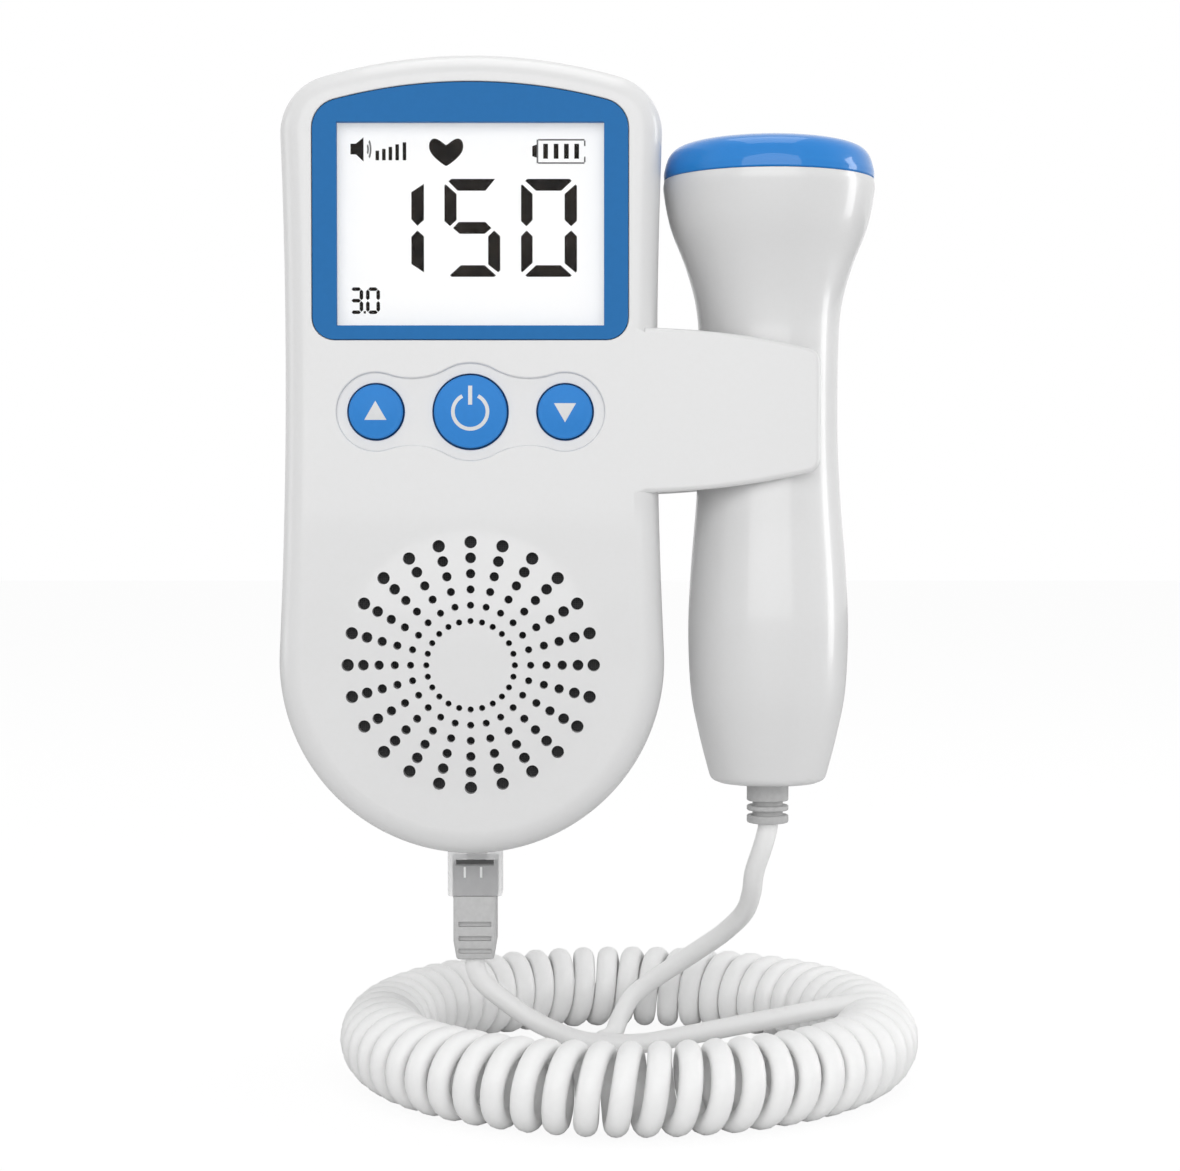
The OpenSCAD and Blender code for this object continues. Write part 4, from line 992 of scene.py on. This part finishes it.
boot_y, boot_low, taper_top = -17 * mm, -125.9 * mm, -122.6 * mm
boot = block("boot", (-3.8 * mm, -20.2 * mm, boot_low), (3.8 * mm, -13.8 * mm, -114.75 * mm))
edit(boot)
choose("VERT", lambda v: v.co.z < -125 * mm)
bpy.ops.transform.resize(value=(0.86, 0.86, 1), center_override=(0, boot_y, boot_low))
choose_all()
bpy.ops.mesh.bisect(plane_co=(0, 0, taper_top), plane_no=(0, 0, 1))
choose("VERT", lambda v: abs(v.co.z - taper_top) < 0.1 * mm)
bpy.ops.transform.resize(value=(3.8 / 3.42, 3.2 / 2.88, 1), center_override=(0, boot_y, taper_top))
close_edit()


def side_edge(e):
    """An upright or slanted edge of the boot, away from its middle."""
    a, b = e.verts
    return abs(a.co.x) > 2 * mm and abs(a.co.z - b.co.z) > 1 * mm


soften(boot, 0.7 * mm, 4, side_edge)
soften(boot, 0.35 * mm, 3, lambda e: all(v.co.z < -125.8 * mm for v in e.verts))
merge_in(boot, soften(slab("tongue", 3.9, (-19.5, -14.5), (-115.2, -109)), 0.25 * mm, 2))
slots = [soften(slab("boot_slot", 2.9, (y - 1, y + 1), (z - 0.45, z + 0.45)), 0.2 * mm, 2)
         for z in (-119.6, -122.1, -124.35) for y in (-20.2, -13.8)]
cut(boot, joined(slots))
boot_grey = uneven("boot_grey", greys(0.56, 0.6), (0.44, 0.56), 1200, (0.25, 0.00004))
dress(smooth(boot), boot_grey, "boot_grey", "cord_boot", body="plug")
core_grey = uneven("core_grey", greys(0.25, 0.27), (0.46, 0.54), 1200)
boot.data.materials.append(core_grey)
for face in boot.data.polygons:
    face.material_index = int(face.center.z > -114.7 * mm)
inner("plug_socket", ((0.09, 0.09, 0.1), (0.14, 0.14, 0.15)), 0.5, 700)
inner("socket_pins plug_contacts", ((0.8, 0.55, 0.2), (0.92, 0.68, 0.3)), 0.25, 900, Metallic=1.0)

# --- Probe -------------------------------------------------------------------------------------------
# Two glossy white half shells meet along the sides, with a fine groove at the joint. A thin blue cap closes
# the wide end over the crystals, and a grey collar with two ring slots holds the cord at the lower end.
probe_x, probe_y, row = 51.3 * mm, -18.5 * mm, -38 * mm


def probe_curve(points):
    """A smooth outline through points of radius and height."""
    return [tuple(p) for p in smooth_route([Vector(p) for p in points], 6)]


def probe_turned(name, outline, steps, sweep=360):
    """A solid of revolution on the probe's axis, its outline in millimetres."""
    return turned(name, (probe_x, probe_y, row), in_mm(outline), "Z", steps, sweep)


profile = probe_curve([
    (18.25, 48.1), (18.3, 46), (17.112, 40), (14.425, 33), (12.612, 26), (12.1, 18), (12.05, 4),
    (12.601, -8), (13.494, -19), (13.95, -30), (13.5, -40.5), (12.2, -47.6), (10.6, -54), (9.9, -56),
    (8.6, -56.7)])
inside = [(r - 1.8, z) for r, z in profile if z > -54.4][::-1]
shell_outline = profile + [(2.9, -56.7), (2.9, -54.9), (inside[0][0] - 0.4, -54.9)] + inside + [profile[0]]
probe_white = moulded_white("probe_white", 0.765, 0.3)


def outer_seam(e):
    """The joint's outer edge, whose side face looks away from the probe's axis."""
    return level(probe_y, 0.001 * mm)(e) and any(
        f.normal.x * (e.verts[0].co.x - probe_x) > 0.2 for f in e.link_faces)


for way, half in ((180, "front"), (-180, "back")):
    shell = probe_turned("probe_shell_" + half, shell_outline, 64, way)
    edit(shell)
    for side in (-1, 1):
        choose("EDGE", lambda e: len(e.link_faces) == 1 and side * (e.verts[0].co.x - probe_x) > 0)
        bpy.ops.mesh.edge_face_add()
    choose_all()
    bpy.ops.mesh.normals_make_consistent(inside=False)
    close_edit()
    soften(shell, 0.12 * mm, 2, outer_seam)
    dress(smooth(shell), probe_white, "probe_white", "probe_" + half + "_shell", body="probe")

cap_outline = [(15.2, 45.5), (16.3, 45.5), (16.3, 48.2), (18.05, 48.2)] + probe_curve([
    (18.25, 48.45), (18.2, 49.8), (17.3, 52.4), (15.3, 53.9), (11, 54.75), (5, 55.05), (0, 55.1)])
cap_outline += [(0, 53), (13.2, 53), (15.2, 51.2), (15.2, 45.5)]
cap = probe_turned("probe_cap", cap_outline, 128)
cap_blue = uneven("cap_blue", ((0.011, 0.224, 0.655), (0.013, 0.228, 0.665)), (0.29, 0.31), 300,
                  Specular_IOR_Level=0.1, Coat_Weight=0.65, Coat_Roughness=0.02)
dress(smooth(cap), cap_blue, "blue_cap", "probe_head_cap", body="probe")

collar = probe_turned("cord_collar", [
    (0, -63.9), (3.3, -63.9), (3.55, -63.8), (3.65, -63.55), (3.65, -62.65), (3.5, -62.5), (2.65, -62.5),
    (2.65, -61.7), (3.5, -61.7), (3.65, -61.55), (3.65, -60.95), (3.5, -60.8), (2.65, -60.8), (2.65, -60.0),
    (3.5, -60.0), (3.65, -59.85), (3.65, -56.75), (2.7, -56.75), (2.7, -54.85), (4.6, -54.85), (4.6, -53.6),
    (0, -53.6)], 72)
collar_grey = uneven("collar_grey", greys(0.48, 0.52), (0.44, 0.56), 1200, (0.25, 0.00004))
dress(smooth(collar), collar_grey, "relief_grey", "probe_strain_relief", body="probe")
inner("probe_carrier", ((0.76, 0.74, 0.64), (0.84, 0.82, 0.72)), 0.5, 600)
inner("probe_crystals", ((0.72, 0.7, 0.64), (0.84, 0.82, 0.76)), 0.35, 1500)
inner("probe_board", board_green, 0.35, 260, Coat_Weight=0.4)

# --- Table, backdrop and light -----------------------------------------------------------------------
# A pale table top under the ring of cord and a white surround. The camera sees both as near white. Four
# flat lamps light the unit from the front, from both sides and from above.
bpy.ops.object.select_all(action="DESELECT")
bpy.ops.mesh.primitive_plane_add(size=6, location=(0, 0.5, table_z - 0.00005))
table = bpy.context.object
table.name = "table_top"
surface, tree, shader = new_material("pale_table", (0.7, 0.7, 0.7), 0.6)
glow = add_node(tree, "Emission", {"Color": (1, 1, 1, 1), "Strength": 1.08})
seen = add_node(tree, "LightPath", {})
share = add_node(tree, "Math", {0: seen.outputs["Is Camera Ray"], 1: 0.85}, operation="MULTIPLY")
mix = add_node(tree, "MixShader", {"Fac": share.outputs["Value"], 1: shader.outputs["BSDF"],
                                   2: glow.outputs["Emission"]})
output = next(n for n in tree.nodes if n.type == "OUTPUT_MATERIAL")
tree.links.new(mix.outputs["Shader"], output.inputs["Surface"])
table.data.materials.append(surface)

world = bpy.data.worlds.new("surround")
bpy.context.scene.world = world
world.use_nodes = True
tree = world.node_tree
tree.nodes.clear()
soft = add_node(tree, "Background", {"Color": (0.8, 0.8, 0.8, 1), "Strength": 0.43})
white = add_node(tree, "Background", {"Color": (1, 1, 1, 1), "Strength": 1})
seen = add_node(tree, "LightPath", {})
either = add_node(tree, "Math", {0: seen.outputs["Is Camera Ray"], 1: seen.outputs["Is Glossy Ray"]},
                  operation="MAXIMUM")
mix = add_node(tree, "MixShader", {"Fac": either.outputs["Value"], 1: soft.outputs["Background"],
                                   2: white.outputs["Background"]})
add_node(tree, "OutputWorld", {"Surface": mix.outputs["Shader"]})


def softbox(name, place, aim, width, height, watts):
    """A flat lamp that faces a point and isn't seen by the camera."""
    bpy.ops.object.light_add(type="AREA", location=place)
    lamp = bpy.context.object
    lamp.name = name
    lamp.data.shape = "RECTANGLE"
    lamp.data.size, lamp.data.size_y = width, height
    lamp.data.energy = watts
    lamp.visible_camera = False
    lamp.rotation_euler = (Vector(aim) - Vector(place)).to_track_quat("-Z", "Y").to_euler()


softbox("front_box", (0.02, -1.3, 0.451), (0.02, 0, 0.451), 1.6, 1.0, 10.4)
softbox("right_box", (0.8, 0.09, 0.05), (0.05, -0.02, -0.05), 0.18, 0.6, 1.8)
softbox("left_box", (-0.75, 0.0, 0.05), (-0.03, -0.01, -0.05), 0.3, 0.6, 0.75)
softbox("top_box", (0.05, 0.0, 0.9), (0.03, 0, -0.05), 0.8, 0.6, 3.0)
bpy.context.scene.view_settings.view_transform = "Standard"
